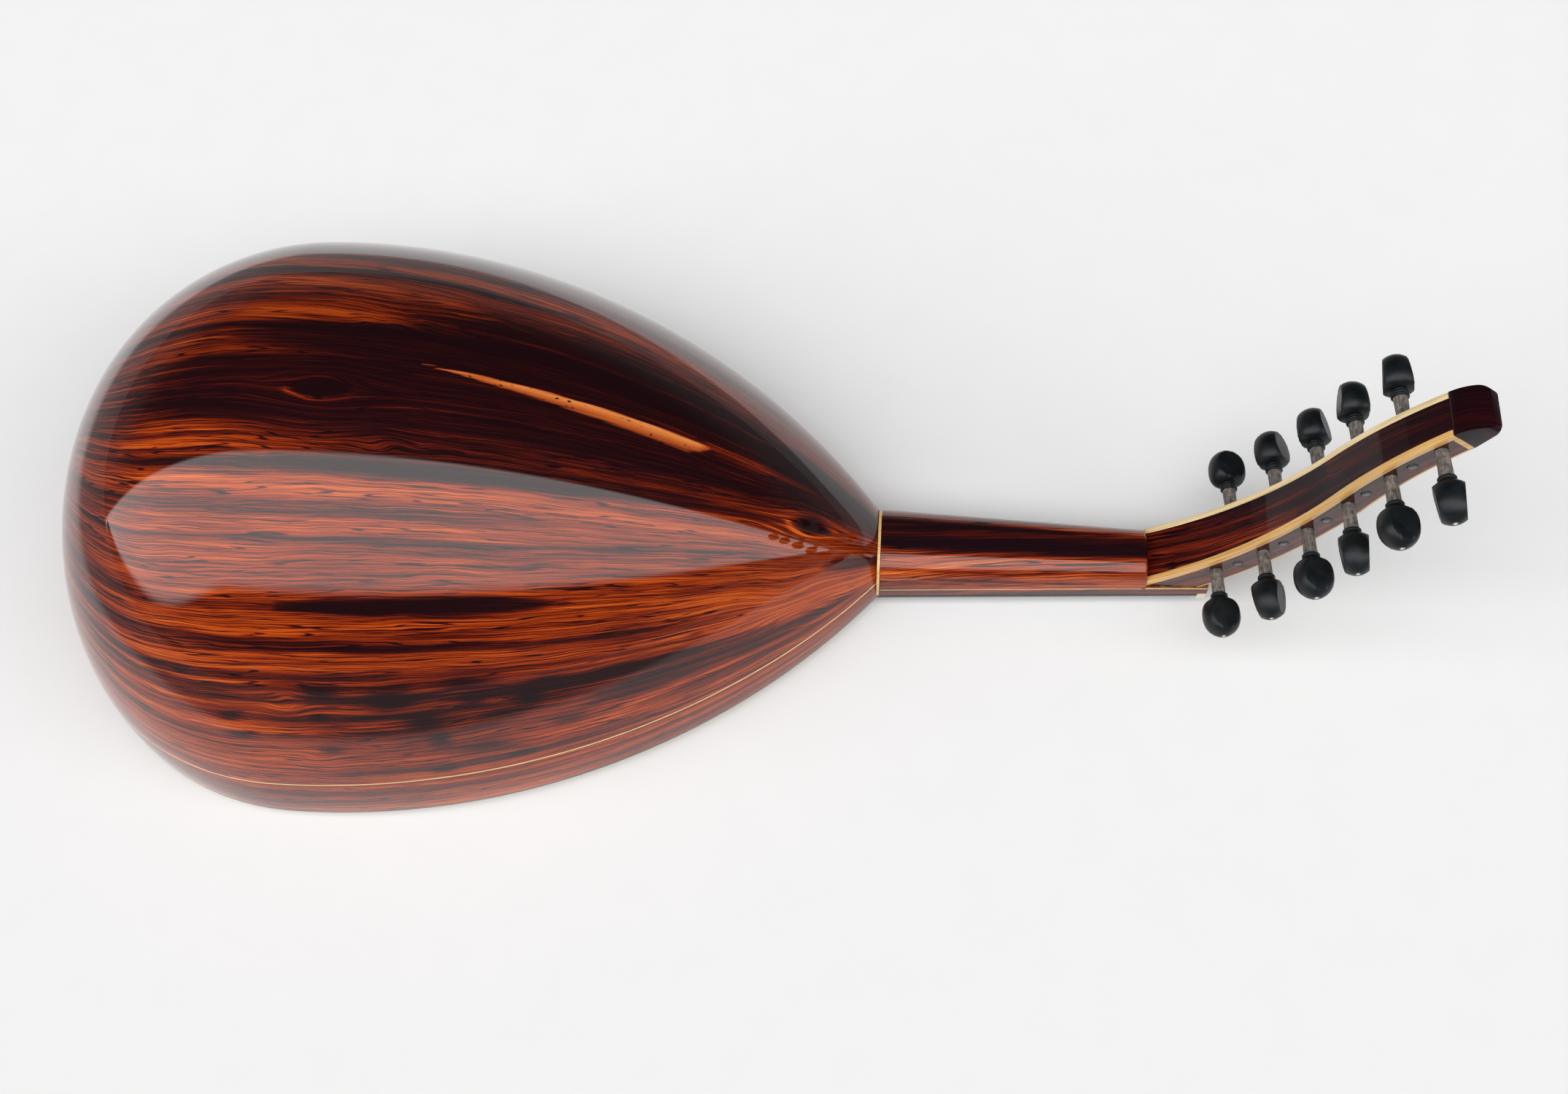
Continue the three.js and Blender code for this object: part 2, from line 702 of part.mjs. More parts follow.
// What the neck fills, plus a gap: the pegbox pieces are cut to it.
function neckZone() {
  const far = neckLength + glueGap;
  const low = -2 * neckDepthAtJoint;
  const high = 2 * neckDepthAtJoint;
  const left = boxRootX - 3 * boxRootBlock;
  const rootX = boxRootX + glueGap;
  const outline = [
    [left, low], [far, low], [far, seatZ(far) + glueGap], [rootX, boxRootHeight + glueGap],
    [rootX, high], [left, high],
  ];
  return slab(outline.map(([x, z]) => ({ x, z, low: -2 * jointHalfWidth, high: 2 * jointHalfWidth })));
}

const backRise = boxHalfDepth;
const underBackRise = (distance) => boxHalfDepth(distance) - boxBackThickness;
const wallTopRise = (distance) => underBackRise(distance) - glueGap;
const frontRise = (distance) => -boxHalfDepth(distance);
const innerHalf = (distance) => boxHalfWidth(distance) - boxWall;

// The back of the pegbox, with the wedge at its root that closes the trough over the neck.
function boxBack() {
  const half = (distance) => innerHalf(distance) - glueGap;
  const lowY = (distance) => -half(distance);
  const board = boxStrip(underBackRise, backRise, lowY, half, boxRearStart);
  const rootSteps = 4;
  const fill = (riseAt, reversed) => {
    const points = Array.from({ length: rootSteps + 1 }, (_, i) => {
      const distance = boxRearStart + ((firstPegAt - pegHeadRadius - boxRearStart) * i) / rootSteps;
      const { x, z } = boxAt(distance, riseAt(distance));
      return { x, z, low: lowY(distance), high: half(distance) };
    });
    return reversed ? points.reverse() : points;
  };
  const wedge = slab([...fill(frontRise, false), ...fill(backRise, true)]);
  return fromSolid(toSolid(board).add(toSolid(wedge)).subtract(toSolid(neckZone())));
}
place('pegbox_back', boxBack(), 'darkRosewood');

// Pegs and their places: each has a side, a distance along the pegbox and a turn of its flat head.
const pegPitch = (boxLength - firstPegAt - lastPegToHead) / (rightPegCount - 1);
const rightHeadDegrees = [-12, -60, -10, -75, -14, -70];
const leftHeadDegrees = [-14, -50, -58, -86, -75];
const pegs = [
  ...rightHeadDegrees.map((turn, i) => ({
    name: `peg_right_${i + 1}`, side: -1, at: firstPegAt + pegPitch * i, turn, string: i,
  })),
  ...leftHeadDegrees.map((turn, i) => ({
    name: `peg_left_${i + 1}`,
    side: 1,
    at: firstPegAt + pegPitch * (i + leftPegOffsetShare),
    turn,
    string: stringRadii.length - 1 - i,
  })),
];

// Turns a geometry whose axis is +Y, with the head at +Y, into its place across the pegbox.
function pegFrame({ side, at, turn }) {
  const centre = boxAt(at, 0);
  const along = new THREE.Vector3(Math.cos(centre.heading), 0, Math.sin(centre.heading));
  const tilt = radians(pegTiltDegrees);
  const axis = new THREE.Vector3(0, Math.cos(tilt), 0).addScaledVector(along, -Math.sin(tilt))
    .multiplyScalar(side);
  const facing = new THREE.Vector3(-Math.sin(radians(turn)), 0, Math.cos(radians(turn)));
  const across = new THREE.Vector3().crossVectors(axis, facing).normalize();
  const normal = new THREE.Vector3().crossVectors(across, axis);
  return new THREE.Matrix4().makeBasis(across, axis, normal).setPosition(centre.x, 0, centre.z);
}

function shankRadius(fromCollar) {
  return shankRadiusAtCollar - shankTaperShare * fromCollar;
}

// The collar is two turned rings with a groove between them.
const collarProfile = [
  { alongShare: 0.12, radiusShare: 1 },
  { alongShare: 0.42, radiusShare: 1 },
  { alongShare: 0.52, radiusShare: 0.9 },
  { alongShare: 0.62, radiusShare: 1 },
  { alongShare: 0.88, radiusShare: 1 },
];

// The turned head is a heart in outline. Two flats pare its round section and draw together to the tip.
const headProfile = [
  { alongShare: 0, radiusShare: 0.4, thicknessShare: 1 },
  { alongShare: 0.06, radiusShare: 0.64, thicknessShare: 1 },
  { alongShare: 0.2, radiusShare: 0.91, thicknessShare: 0.96 },
  { alongShare: 0.38, radiusShare: 1, thicknessShare: 0.89 },
  { alongShare: 0.58, radiusShare: 0.96, thicknessShare: 0.81 },
  { alongShare: 0.78, radiusShare: 0.76, thicknessShare: 0.72 },
  { alongShare: 0.93, radiusShare: 0.42, thicknessShare: 0.62 },
  { alongShare: 1, radiusShare: 0.15, thicknessShare: 0.5 },
];

const pegSides = 10;

function pegRing(along, radius, halfThickness) {
  return Array.from({ length: pegSides }, (_, i) => {
    const angle = (2 * Math.PI * (i + 0.5)) / pegSides;
    const depth = radius * Math.sin(angle);
    const pared = Math.max(-halfThickness, Math.min(halfThickness, depth));
    return new THREE.Vector3(radius * Math.cos(angle), along, pared);
  });
}

function pegGeometry(peg) {
  const wallFace = boxHalfWidth(peg.at);
  const collarStart = wallFace + shankOutside;
  const headStart = collarStart + collarLength;
  const end = -wallFace - pegEndProud;
  const round = (along, radius) => pegRing(along, radius, radius);
  const rings = [
    round(end, shankRadius(collarStart - end)),
    round(collarStart, shankRadiusAtCollar),
    ...collarProfile.map(({ alongShare, radiusShare }) => (
      round(collarStart + alongShare * collarLength, radiusShare * collarRadius)
    )),
    ...headProfile.map(({ alongShare, radiusShare, thicknessShare }) => pegRing(
      headStart + alongShare * pegHeadLength,
      radiusShare * pegHeadRadius,
      thicknessShare * pegHeadHalfThickness,
    )),
  ];
  return loft(rings).applyMatrix4(pegFrame(peg));
}

function pegHole(peg) {
  const wallFace = boxHalfWidth(peg.at);
  const collarStart = wallFace + shankOutside;
  const far = wallFace + cutOverrun;
  const bore = new THREE.CylinderGeometry(
    shankRadius(collarStart - far) + pegClearance,
    shankRadius(collarStart + far) + pegClearance,
    2 * far,
    pegSides,
  );
  return bore.rotateY(Math.PI / pegSides).applyMatrix4(pegFrame(peg));
}

function boxWallGeometry(side) {
  const outer = (distance) => side * boxHalfWidth(distance);
  const inner = (distance) => side * innerHalf(distance);
  const low = side > 0 ? inner : outer;
  const high = side > 0 ? outer : inner;
  const wall = boxStrip(frontRise, wallTopRise, low, high, boxRearStart);
  return cut(wall, [neckZone(), ...pegs.map(pegHole)]);
}

function boxEdgeGeometry(side) {
  const outer = (distance) => side * boxHalfWidth(distance);
  const inner = (distance) => side * innerHalf(distance);
  const low = side > 0 ? inner : outer;
  const high = side > 0 ? outer : inner;
  return cut(boxStrip(underBackRise, backRise, low, high, boxRearStart), [neckZone()]);
}

place('pegbox_wall_right', boxWallGeometry(-1), 'rosewood');
place('pegbox_wall_left', boxWallGeometry(1), 'rosewood');
place('pegbox_edge_right', boxEdgeGeometry(-1), 'maple');
place('pegbox_edge_left', boxEdgeGeometry(1), 'maple');

// The head block closes the end of the pegbox: its back curls over to the front, and its corners are round.
function headBlock() {
  const frame = boxAt(boxLength, 0);
  const halfDepth = boxHalfDepth(boxLength);
  const at = (along, rise) => ({
    x: frame.x + along * Math.cos(frame.heading) - rise * Math.sin(frame.heading),
    z: frame.z + along * Math.sin(frame.heading) + rise * Math.cos(frame.heading),
    low: -boxHalfWidthAtHead,
    high: boxHalfWidthAtHead,
  });
  const curlSteps = 6;
  const curl = Array.from({ length: curlSteps + 1 }, (_, i) => {
    const angle = (Math.PI / 2) * (i / curlSteps);
    return at(headLength * Math.sin(angle), (halfDepth + headTipDrop) * Math.cos(angle) - headTipDrop);
  });
  const body = slab([at(0, -halfDepth), ...curl.reverse()]);
  const plan = new THREE.Shape();
  plan.moveTo(-cutOverrun, -boxHalfWidthAtHead);
  plan.lineTo(headLength - headCornerRadius, -boxHalfWidthAtHead);
  plan.absarc(
    headLength - headCornerRadius, headCornerRadius - boxHalfWidthAtHead, headCornerRadius,
    -Math.PI / 2, 0, false,
  );
  plan.absarc(
    headLength - headCornerRadius, boxHalfWidthAtHead - headCornerRadius, headCornerRadius,
    0, Math.PI / 2, false,
  );
  plan.lineTo(-cutOverrun, boxHalfWidthAtHead);
  const rounded = plate(plan, -2 * halfDepth, 4 * halfDepth, 4)
    .rotateY(-frame.heading)
    .translate(frame.x, 0, frame.z);
  return shared(body, rounded);
}
place('head_block', headBlock(), 'darkRosewood');

pegs.forEach((peg) => place(peg.name, pegGeometry(peg), 'ebony'));

// Strings run from a knot behind the bridge, through it, over the nut, and in front of the nearer pegs.

function inFront(peg, clearance) {
  const wrap = shankRadiusAtCollar + clearance;
  const { x, z } = boxAt(peg.at, -wrap);
  return new THREE.Vector2(x, z);
}

// Leaves out each point that a tight string would pass in front of.
function tightRoute(points) {
  const route = [];
  for (const point of points) {
    while (route.length > 1) {
      const before = route[route.length - 2];
      const last = route[route.length - 1];
      const bend = last.clone().sub(before).cross(point.clone().sub(last));
      if (bend >= 0) break;
      route.pop();
    }
    route.push(point);
  }
  return route;
}

// The knot behind the bridge swells between its second and third points.
const knotShares = [1, 0.75, 0.25, 0];

function stringGeometry(peg) {
  const index = peg.string;
  const radius = stringRadii[index];
  const bridgeY = courseOffset(index, bridgeCourseSpacing, bridgePairSpacing);
  const nutY = courseOffset(index, nutCourseSpacing, nutPairSpacing);
  const lane = (index - (stringRadii.length - 1) / 2) / ((stringRadii.length - 1) / 2);
  const pegY = lane * (innerHalf(peg.at) - laneMargin);
  const clear = radius + stringClearance;
  const nutEdge = new THREE.Vector2(neckLength + clear, nutStringZ(index) + clear);
  const nearer = pegs.filter((other) => other.at < peg.at).sort((a, b) => a.at - b.at);
  const route = tightRoute([
    nutEdge,
    ...nearer.map((other) => inFront(other, clear + stringClearance)),
    inFront(peg, clear),
  ]);
  const total = route[route.length - 1].y - nutEdge.y;
  const inBox = route.map((p) => (
    new THREE.Vector3(p.x, nutY + ((pegY - nutY) * (p.y - nutEdge.y)) / total, p.y)
  ));
  const knotEnd = bridgeX - bridgeFootWidth / 2 - glueGap;
  const atBridge = (x) => new THREE.Vector3(x, bridgeY, stringZAtBridge);
  const points = [
    ...knotShares.map((share) => atBridge(knotEnd - share * knotLength)),
    atBridge(bridgeX + bridgeFootWidth / 2 + stringClearance),
    new THREE.Vector3(nutStartX, nutY, nutStringZ(index)),
    new THREE.Vector3(neckLength, nutY, nutStringZ(index)),
    ...inBox,
  ];
  const radii = points.map((_, i) => (i === 1 || i === 2 ? knotRadius : radius));
  return tube(points, radii, 6);
}

const woundCount = 5;
pegs.slice().sort((a, b) => a.string - b.string).forEach((peg) => {
  const finish = peg.string < woundCount ? 'woundWire' : 'nylon';
  place(`string_${peg.string + 1}`, stringGeometry(peg), finish);
});

// The finished instrument lies with its bridge on z = 0 and the middle of its length over the origin.
const bounds = new THREE.Box3().setFromObject(oud);
oud.position.set(-(bounds.min.x + bounds.max.x) / 2, -(bounds.min.y + bounds.max.y) / 2, -bounds.min.z);

export default oud;
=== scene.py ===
# An eleven-string oud that lies face down on a pale floor, seen from the back of its ribbed bowl.
# Metres, in the frame of the model: +X to the head, +Y to the five left pegs, +Z out of the bowl's back.
import math

import bmesh
import bpy
import numpy as np
from mathutils import Matrix, Vector


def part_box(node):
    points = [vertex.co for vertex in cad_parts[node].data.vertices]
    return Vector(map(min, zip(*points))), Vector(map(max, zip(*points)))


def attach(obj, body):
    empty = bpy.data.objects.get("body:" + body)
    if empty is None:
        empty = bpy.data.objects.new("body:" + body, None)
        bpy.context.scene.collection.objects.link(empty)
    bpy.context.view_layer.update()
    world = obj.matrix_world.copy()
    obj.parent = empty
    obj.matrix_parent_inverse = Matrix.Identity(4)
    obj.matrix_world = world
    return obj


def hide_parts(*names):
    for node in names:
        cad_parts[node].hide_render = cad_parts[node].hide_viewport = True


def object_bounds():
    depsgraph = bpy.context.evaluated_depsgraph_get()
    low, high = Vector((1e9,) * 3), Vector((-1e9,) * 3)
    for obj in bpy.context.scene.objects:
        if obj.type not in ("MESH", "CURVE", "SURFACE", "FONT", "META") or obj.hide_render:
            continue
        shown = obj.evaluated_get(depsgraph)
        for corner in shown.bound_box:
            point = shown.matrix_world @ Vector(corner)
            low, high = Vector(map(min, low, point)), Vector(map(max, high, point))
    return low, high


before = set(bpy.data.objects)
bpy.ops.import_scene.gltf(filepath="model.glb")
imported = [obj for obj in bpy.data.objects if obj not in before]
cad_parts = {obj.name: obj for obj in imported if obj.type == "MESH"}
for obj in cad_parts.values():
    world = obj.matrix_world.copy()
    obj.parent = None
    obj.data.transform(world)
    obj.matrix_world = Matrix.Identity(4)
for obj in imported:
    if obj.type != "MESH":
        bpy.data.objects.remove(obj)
cad_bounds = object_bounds()

# The instrument's own origin: x at the neck joint, y in the middle, z in the plane of the bowl's rim.
ORIGIN = np.array([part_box("joint_ring")[0].x, 0.0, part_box("soundboard")[1].z])
FLOOR = cad_bounds[0][2]
SIDES = (("right", -1), ("left", 1))

# Bowl
BOWL_LENGTH = 0.480
TAIL_RADIUS = 0.234
TAIL_TURN = math.radians(16.7)
SIDE_RADIUS = 0.152
SIDE_TURN = math.radians(72)
JOINT_HALF_WIDTH = 0.027
BOWL_DEPTH_SHARE = 1.05
RIB_COUNT = 12
RIB_THICKNESS = 0.0026
BAND_FOOT_HEIGHT = 0.008
BAND_RISE_SHARE = 0.16
CLASP_RADIUS = 0.038
PURFLING_WIDTH = 0.0011
SEAM = 0.00004

# Neck
NECK_LENGTH = 0.195
NECK_DEPTH_AT_JOINT = 0.0288
NECK_DEPTH_AT_NUT = 0.0218
NECK_FULLNESS_AT_JOINT = (2.1, 3.0)
NECK_FULLNESS_AT_NUT = (2.3, 3.4)
NUT_HALF_WIDTH = 0.0176
RING_THICKNESS = 0.0016
FINGERBOARD_THICKNESS = 0.003
SOUNDBOARD_THICKNESS = 0.0022
NECK_FACE = FINGERBOARD_THICKNESS - SOUNDBOARD_THICKNESS
GLUE_GAP = 0.0003
HAIR_GAP = 0.00005

# Pegbox
BOX_START = (0.1714, 0.0091)
BOX_START_HEADING = math.radians(37.3)
BOX_FIRST_RADIUS = 0.247
BOX_FIRST_TURN = math.radians(30.6)
BOX_SECOND_RADIUS = 0.245
BOX_LENGTH = 0.207
BOX_DEPTH_AT_NUT = 0.0235
BOX_DEPTH_AT_HEAD = 0.0182
BOX_HALF_WIDTH_AT_NUT = 0.0175
BOX_HALF_WIDTH_AT_HEAD = 0.0125
BOX_WALL = 0.0036
BOX_BACK_THICKNESS = 0.0044
BOX_SEAT_START = 0.158
BOX_ROOT_HEIGHT = 0.0088
BOX_SEAT_HEIGHT = 0.0080
BOX_ROOT_BLOCK = 0.027
BOX_ROOT_HALF_WIDTH = 0.0181
HEAD_LENGTH = 0.018
HEAD_TIP_DROP = 0.0045
HEAD_CORNER_RADIUS = 0.0045

# Pegs
FIRST_PEG_AT = 0.031
PEG_PITCH = 0.0325
LEFT_PEG_OFFSET_SHARE = 0.446
PEG_TILT = math.radians(3)
SHANK_RADIUS = 0.0038
SHANK_TAPER_SHARE = 0.03
SHANK_OUTSIDE = 0.0152
COLLAR_LENGTH = 0.004
COLLAR_RADIUS = 0.0048
PEG_HEAD_LENGTH = 0.0224
PEG_HEAD_RADIUS = 0.0106
PEG_HEAD_HALF_THICKNESS = 0.0080
PEG_TIP_FLAT_SHARE = 0.72
PEG_END_PROUD = 0.0005
PEG_BUTTON = 0.0012
RIGHT_HEAD_TURNS = (-12, -60, -10, -75, -14, -70)
LEFT_HEAD_TURNS = (-14, -50, -58, -86, -75)

# Camera, in the instrument's own frame
PHOTO_WIDTH = 2150
CAMERA_FOCAL_PIXELS = 2262.7
CAMERA_PLACE = (0.00745, -0.44314, 0.89706)
CAMERA_YAW = 0.06441
CAMERA_PITCH = 0.46187
CAMERA_ROLL = 0.03702
SENSOR_WIDTH = 36.0
CAMERA_CLIP = (0.02, 60.0)


# Rim and bowl formulas

def arc_end(start, radius, angle):
    """x, half-width and heading at the end of an arc that turns inwards."""
    x, y, heading = start
    after = heading - angle
    return (
        x + radius * (np.sin(heading) - np.sin(after)),
        y + radius * (np.cos(after) - np.cos(heading)),
        after,
    )


def rim_arcs():
    """Tail, side and flank. The flank's arc is the one that ends at the neck joint."""
    tail = (-BOWL_LENGTH, 0.0, math.pi / 2)
    side = arc_end(tail, TAIL_RADIUS, TAIL_TURN)
    flank = arc_end(side, SIDE_RADIUS, SIDE_TURN)
    chord = math.hypot(flank[0], JOINT_HALF_WIDTH - flank[1])
    slope = math.atan2(JOINT_HALF_WIDTH - flank[1], -flank[0])
    turn = 2 * (flank[2] - slope)
    radius = chord / 2 / math.sin(turn / 2)
    return ((tail, TAIL_RADIUS, TAIL_TURN), (side, SIDE_RADIUS, SIDE_TURN), (flank, radius, turn))


RIM_ARCS = rim_arcs()
RIM_LENGTH = sum(radius * turn for _, radius, turn in RIM_ARCS)


def rim_at(distance):
    """x, half-width and heading of the rim at distances along it from the middle of the tail."""
    distance = np.asarray(distance, float)
    result = None
    offset = 0.0
    for start, radius, turn in RIM_ARCS:
        here = np.stack(np.broadcast_arrays(*arc_end(start, radius, (distance - offset) / radius)), -1)
        result = here if result is None else np.where((distance >= offset)[..., None], here, result)
        offset += radius * turn
    return result[..., 0], result[..., 1], result[..., 2]


def bowl_point(distance, angle, inset=0.0):
    """Angle 0 is the right rim, a quarter turn is the ridge and a half turn is the left rim."""
    x, half, heading = rim_at(distance)
    outward = np.stack([
        -np.sin(heading) * np.ones_like(angle),
        -np.cos(angle) * np.cos(heading),
        np.sin(angle) * np.cos(heading) / BOWL_DEPTH_SHARE,
    ], -1)
    outward /= np.linalg.norm(outward, axis=-1, keepdims=True)
    point = np.stack([
        x * np.ones_like(angle),
        -half * np.cos(angle),
        BOWL_DEPTH_SHARE * half * np.sin(angle),
    ], -1)
    return point - inset * outward + ORIGIN


def band_angle(distance):
    """The angle of the rim band's top."""
    half = rim_at(distance)[1]
    return np.arcsin((BAND_FOOT_HEIGHT + BAND_RISE_SHARE * half) / (BOWL_DEPTH_SHARE * half))


def seam_angle(index, distance):
    band = band_angle(distance)
    return band + (math.pi - 2 * band) * index / RIB_COUNT


def across_angle(width, distance):
    """The angle that a width across a rib takes."""
    return width / (BOWL_DEPTH_SHARE * rim_at(distance)[1])


CLASP_EDGE = TAIL_RADIUS * math.asin(CLASP_RADIUS / TAIL_RADIUS)


# Mesh helpers

def smooth(piece, angle=35.0):
    piece.data.polygons.foreach_set("use_smooth", [True] * len(piece.data.polygons))
    piece.data.set_sharp_from_angle(angle=math.radians(angle))
    return piece


def link(name, data):
    """A new object in the scene."""
    made = bpy.data.objects.new(name, data)
    bpy.context.scene.collection.objects.link(made)
    return made


def make_object(name, points, faces, smooth_angle=35.0):
    mesh = bpy.data.meshes.new(name)
    mesh.from_pydata(np.asarray(points, float).reshape(-1, 3).tolist(), [], faces)
    build = bmesh.new()
    build.from_mesh(mesh)
    bmesh.ops.recalc_face_normals(build, faces=build.faces)
    build.to_mesh(mesh)
    build.free()
    return smooth(link(name, mesh), smooth_angle)


def grid_faces(rows, columns, start=0):
    row = np.arange(rows - 1)[:, None] * columns
    column = np.arange(columns - 1)[None, :]
    corner = (start + row + column).ravel()
    return np.stack([corner, corner + columns, corner + columns + 1, corner + 1], -1).tolist()


def shell(name, outer, inner):
    """A closed skin: a fine outer grid, and an inner face that spans its two long edges."""
    rows, columns = outer.shape[:2]
    start = rows * columns
    faces = grid_faces(rows, columns) + grid_faces(rows, 2, start)
    for row in range(rows - 1):
        near = row * columns
        far = near + columns - 1
        low = start + 2 * row
        faces.append([near, near + columns, low + 2, low])
        faces.append([far, low + 1, low + 3, far + columns])
    for row in (0, rows - 1):
        edge = list(range(row * columns, (row + 1) * columns))
        faces.append(edge + [start + 2 * row + 1, start + 2 * row])
    return make_object(name, np.concatenate([outer.reshape(-1, 3), inner.reshape(-1, 3)]), faces)


def between_rings(low, high, count):
    """Faces that join two rings of points, given by the number of each ring's first point."""
    faces = []
    for corner in range(count):
        after = (corner + 1) % count
        faces.append([low + corner, low + after, high + after, high + corner])
    return faces


def loft(name, rings, smooth_angle=35.0):
    """Rings of equal length joined one after the other, with a flat cap at each end."""
    rings = np.asarray(rings, float)
    count, sides = rings.shape[:2]
    last = (count - 1) * sides
    faces = []
    for low in range(0, last, sides):
        faces += between_rings(low, low + sides, sides)
    faces += [list(range(sides)), list(range(last, last + sides))]
    return make_object(name, rings, faces, smooth_angle)


def circle(centre, radius, sides):
    """Points round a centre. A list of radii gives a row of points at each turn."""
    angle = np.arange(sides) * 2 * math.pi / sides
    x = centre[0] + np.multiply.outer(np.cos(angle), radius)
    y = centre[1] + np.multiply.outer(np.sin(angle), radius)
    return np.stack([x, y], -1)


def add_values(piece, name, values):
    """A float or a vector at each vertex, for the material to read."""
    values = np.asarray(values, float)
    kind, field = ("FLOAT", "value") if values.ndim == 1 else ("FLOAT_VECTOR", "vector")
    attribute = piece.data.attributes.new(name, kind, "POINT")
    attribute.data.foreach_set(field, values.ravel())


def add_grain(piece, along, across, seed):
    """Places along the grain and across it, and a seed that sets the piece's figure apart."""
    add_values(piece, "grain", np.stack([along, across, np.full(len(along), seed)], -1))


def add_figure(piece, along, across, tone, sap=0.0, seed=0.0):
    """What the figured wood reads: its grain, its darkness and its share of sapwood."""
    add_grain(piece, along, across, seed)
    add_values(piece, "tone", np.broadcast_to(tone, len(along)))
    add_values(piece, "sap", np.broadcast_to(sap, len(along)))


def vertices(piece):
    """The piece's points in the instrument's own frame."""
    values = np.empty(3 * len(piece.data.vertices))
    piece.data.vertices.foreach_get("co", values)
    return values.reshape(-1, 3) - ORIGIN


def settle(piece, kind, **settings):
    """Adds one modifier and applies it."""
    modifier = piece.modifiers.new(kind.lower(), kind)
    for key, value in settings.items():
        setattr(modifier, key, value)
    bpy.context.view_layer.update()
    evaluated = piece.evaluated_get(bpy.context.evaluated_depsgraph_get())
    mesh = bpy.data.meshes.new_from_object(evaluated)
    piece.modifiers.clear()
    piece.data = mesh


def bevel(piece, width, segments, degrees):
    settle(piece, "BEVEL", width=width, segments=segments, angle_limit=math.radians(degrees))


def boolean(piece, others, operation="DIFFERENCE"):
    """Cuts the others away, joins them, or keeps what is shared, and removes them."""
    for other in others:
        settle(piece, "BOOLEAN", object=other, operation=operation, solver="EXACT")
        bpy.data.objects.remove(other)
    return piece


def finish_piece(piece, material, slot, body="root", replaced=()):
    piece.data.materials.clear()
    piece.data.materials.append(material)
    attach(piece, body)
    if replaced:
        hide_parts(*replaced)
    return piece


def blend(start, end, share):
    return start + (end - start) * share


# Shader helpers

class Nodes:
    """Short calls for the nodes of a material or of the world."""

    def __init__(self, tree):
        self.tree = tree

    def feed(self, socket, value):
        if isinstance(value, bpy.types.NodeSocket):
            self.tree.links.new(value, socket)
        else:
            socket.default_value = value

    def node(self, kind, settings=None, inputs=None):
        made = self.tree.nodes.new(kind)
        for key, value in (settings or {}).items():
            setattr(made, key, value)
        for key, value in (inputs or {}).items():
            self.feed(made.inputs[key], value)
        return made

    def math(self, operation, *values):
        made = self.node("ShaderNodeMath", {"operation": operation})
        for socket, value in zip(made.inputs, values):
            self.feed(socket, value)
        return made.outputs[0]

    def spread(self, value, low, high, to_low=0.0, to_high=1.0):
        return self.node("ShaderNodeMapRange", {"interpolation_type": "SMOOTHSTEP"}, {
            "Value": value, "From Min": low, "From Max": high, "To Min": to_low, "To Max": to_high,
        }).outputs["Result"]

    def vector(self, x, y, z):
        return self.node("ShaderNodeCombineXYZ", inputs={"X": x, "Y": y, "Z": z}).outputs[0]

    def parts(self, vector):
        return self.node("ShaderNodeSeparateXYZ", inputs={"Vector": vector}).outputs

    def stretched(self, *pairs):
        """A vector of three values, each times its own scale."""
        return self.vector(*(self.math("MULTIPLY", value, scale) for value, scale in pairs))


class Shader(Nodes):
    def __init__(self, name):
        self.material = bpy.data.materials.new(name)
        self.material.use_nodes = True
        super().__init__(self.material.node_tree)
        self.surface = self.tree.nodes["Principled BSDF"]

    def place(self):
        return self.node("ShaderNodeTexCoord").outputs["Object"]

    def attribute(self, name, output):
        made = self.node("ShaderNodeAttribute", {"attribute_type": "GEOMETRY", "attribute_name": name})
        return made.outputs[output]

    def noise(self, vector, scale=1.0, detail=3.0, roughness=0.5):
        return self.node("ShaderNodeTexNoise", inputs={
            "Vector": vector, "Scale": scale, "Detail": detail, "Roughness": roughness,
        }).outputs["Fac"]

    def mix(self, share, first, second):
        made = self.node("ShaderNodeMix", {"data_type": "RGBA"})
        for socket, value in ((0, share), (6, first), (7, second)):
            self.feed(made.inputs[socket], value)
        return made.outputs[2]

    def ramp(self, value, stops):
        made = self.node("ShaderNodeValToRGB", inputs={"Fac": value})
        elements = made.color_ramp.elements
        while len(elements) < len(stops):
            elements.new(0.5)
        for element, (place, colour) in zip(elements, stops):
            element.position = place
            element.color = (*colour, 1.0)
        return made.outputs["Color"]

    def bump(self, height, strength, distance):
        return self.node("ShaderNodeBump", inputs={
            "Height": height, "Strength": strength, "Distance": distance,
        }).outputs["Normal"]

    def finish(self, **values):
        """Sets the surface's sockets and gives the material."""
        for key, value in values.items():
            self.feed(self.surface.inputs[key.replace("_", " ")], value)
        return self.material


# Woods

# Layers of the rosewood's figure: waves per metre along the grain and across it, detail, and a seed's shift.
FIGURE_LAYERS = {
    "sway": (7.0, 22.0, 2.0, 0.0),
    "ripple": (42.0, 130.0, 1.0, 3.0),
    "broad": (3.5, 90.0, 3.0, 1.0),
    "middle": (7.0, 440.0, 3.0, 2.0),
    "fine": (15.0, 1750.0, 2.0, 4.0),
    "broken": (16.0, 200.0, 2.0, 5.0),
    "pencil": (6.0, 600.0, 2.0, 8.0),
    "hair": (13.0, 1100.0, 1.0, 9.0),
    "pores": (150.0, 2500.0, 1.0, 6.0),
    "sap_pores": (300.0, 560.0, 0.0, 7.0),
}
# How much each part of the figure darkens the wood.
FIGURE_WEIGHTS = {
    "broad": 0.62, "middle": 0.80, "fine": 0.70, "rings": 0.42, "pencil": 0.26, "hair": 0.16, "pores": 0.10,
}
SWAY_SWING = 0.009
RIPPLE_SWING = 0.0016
RINGS_PER_METRE = 620.0
RING_DRIFT = 14.0
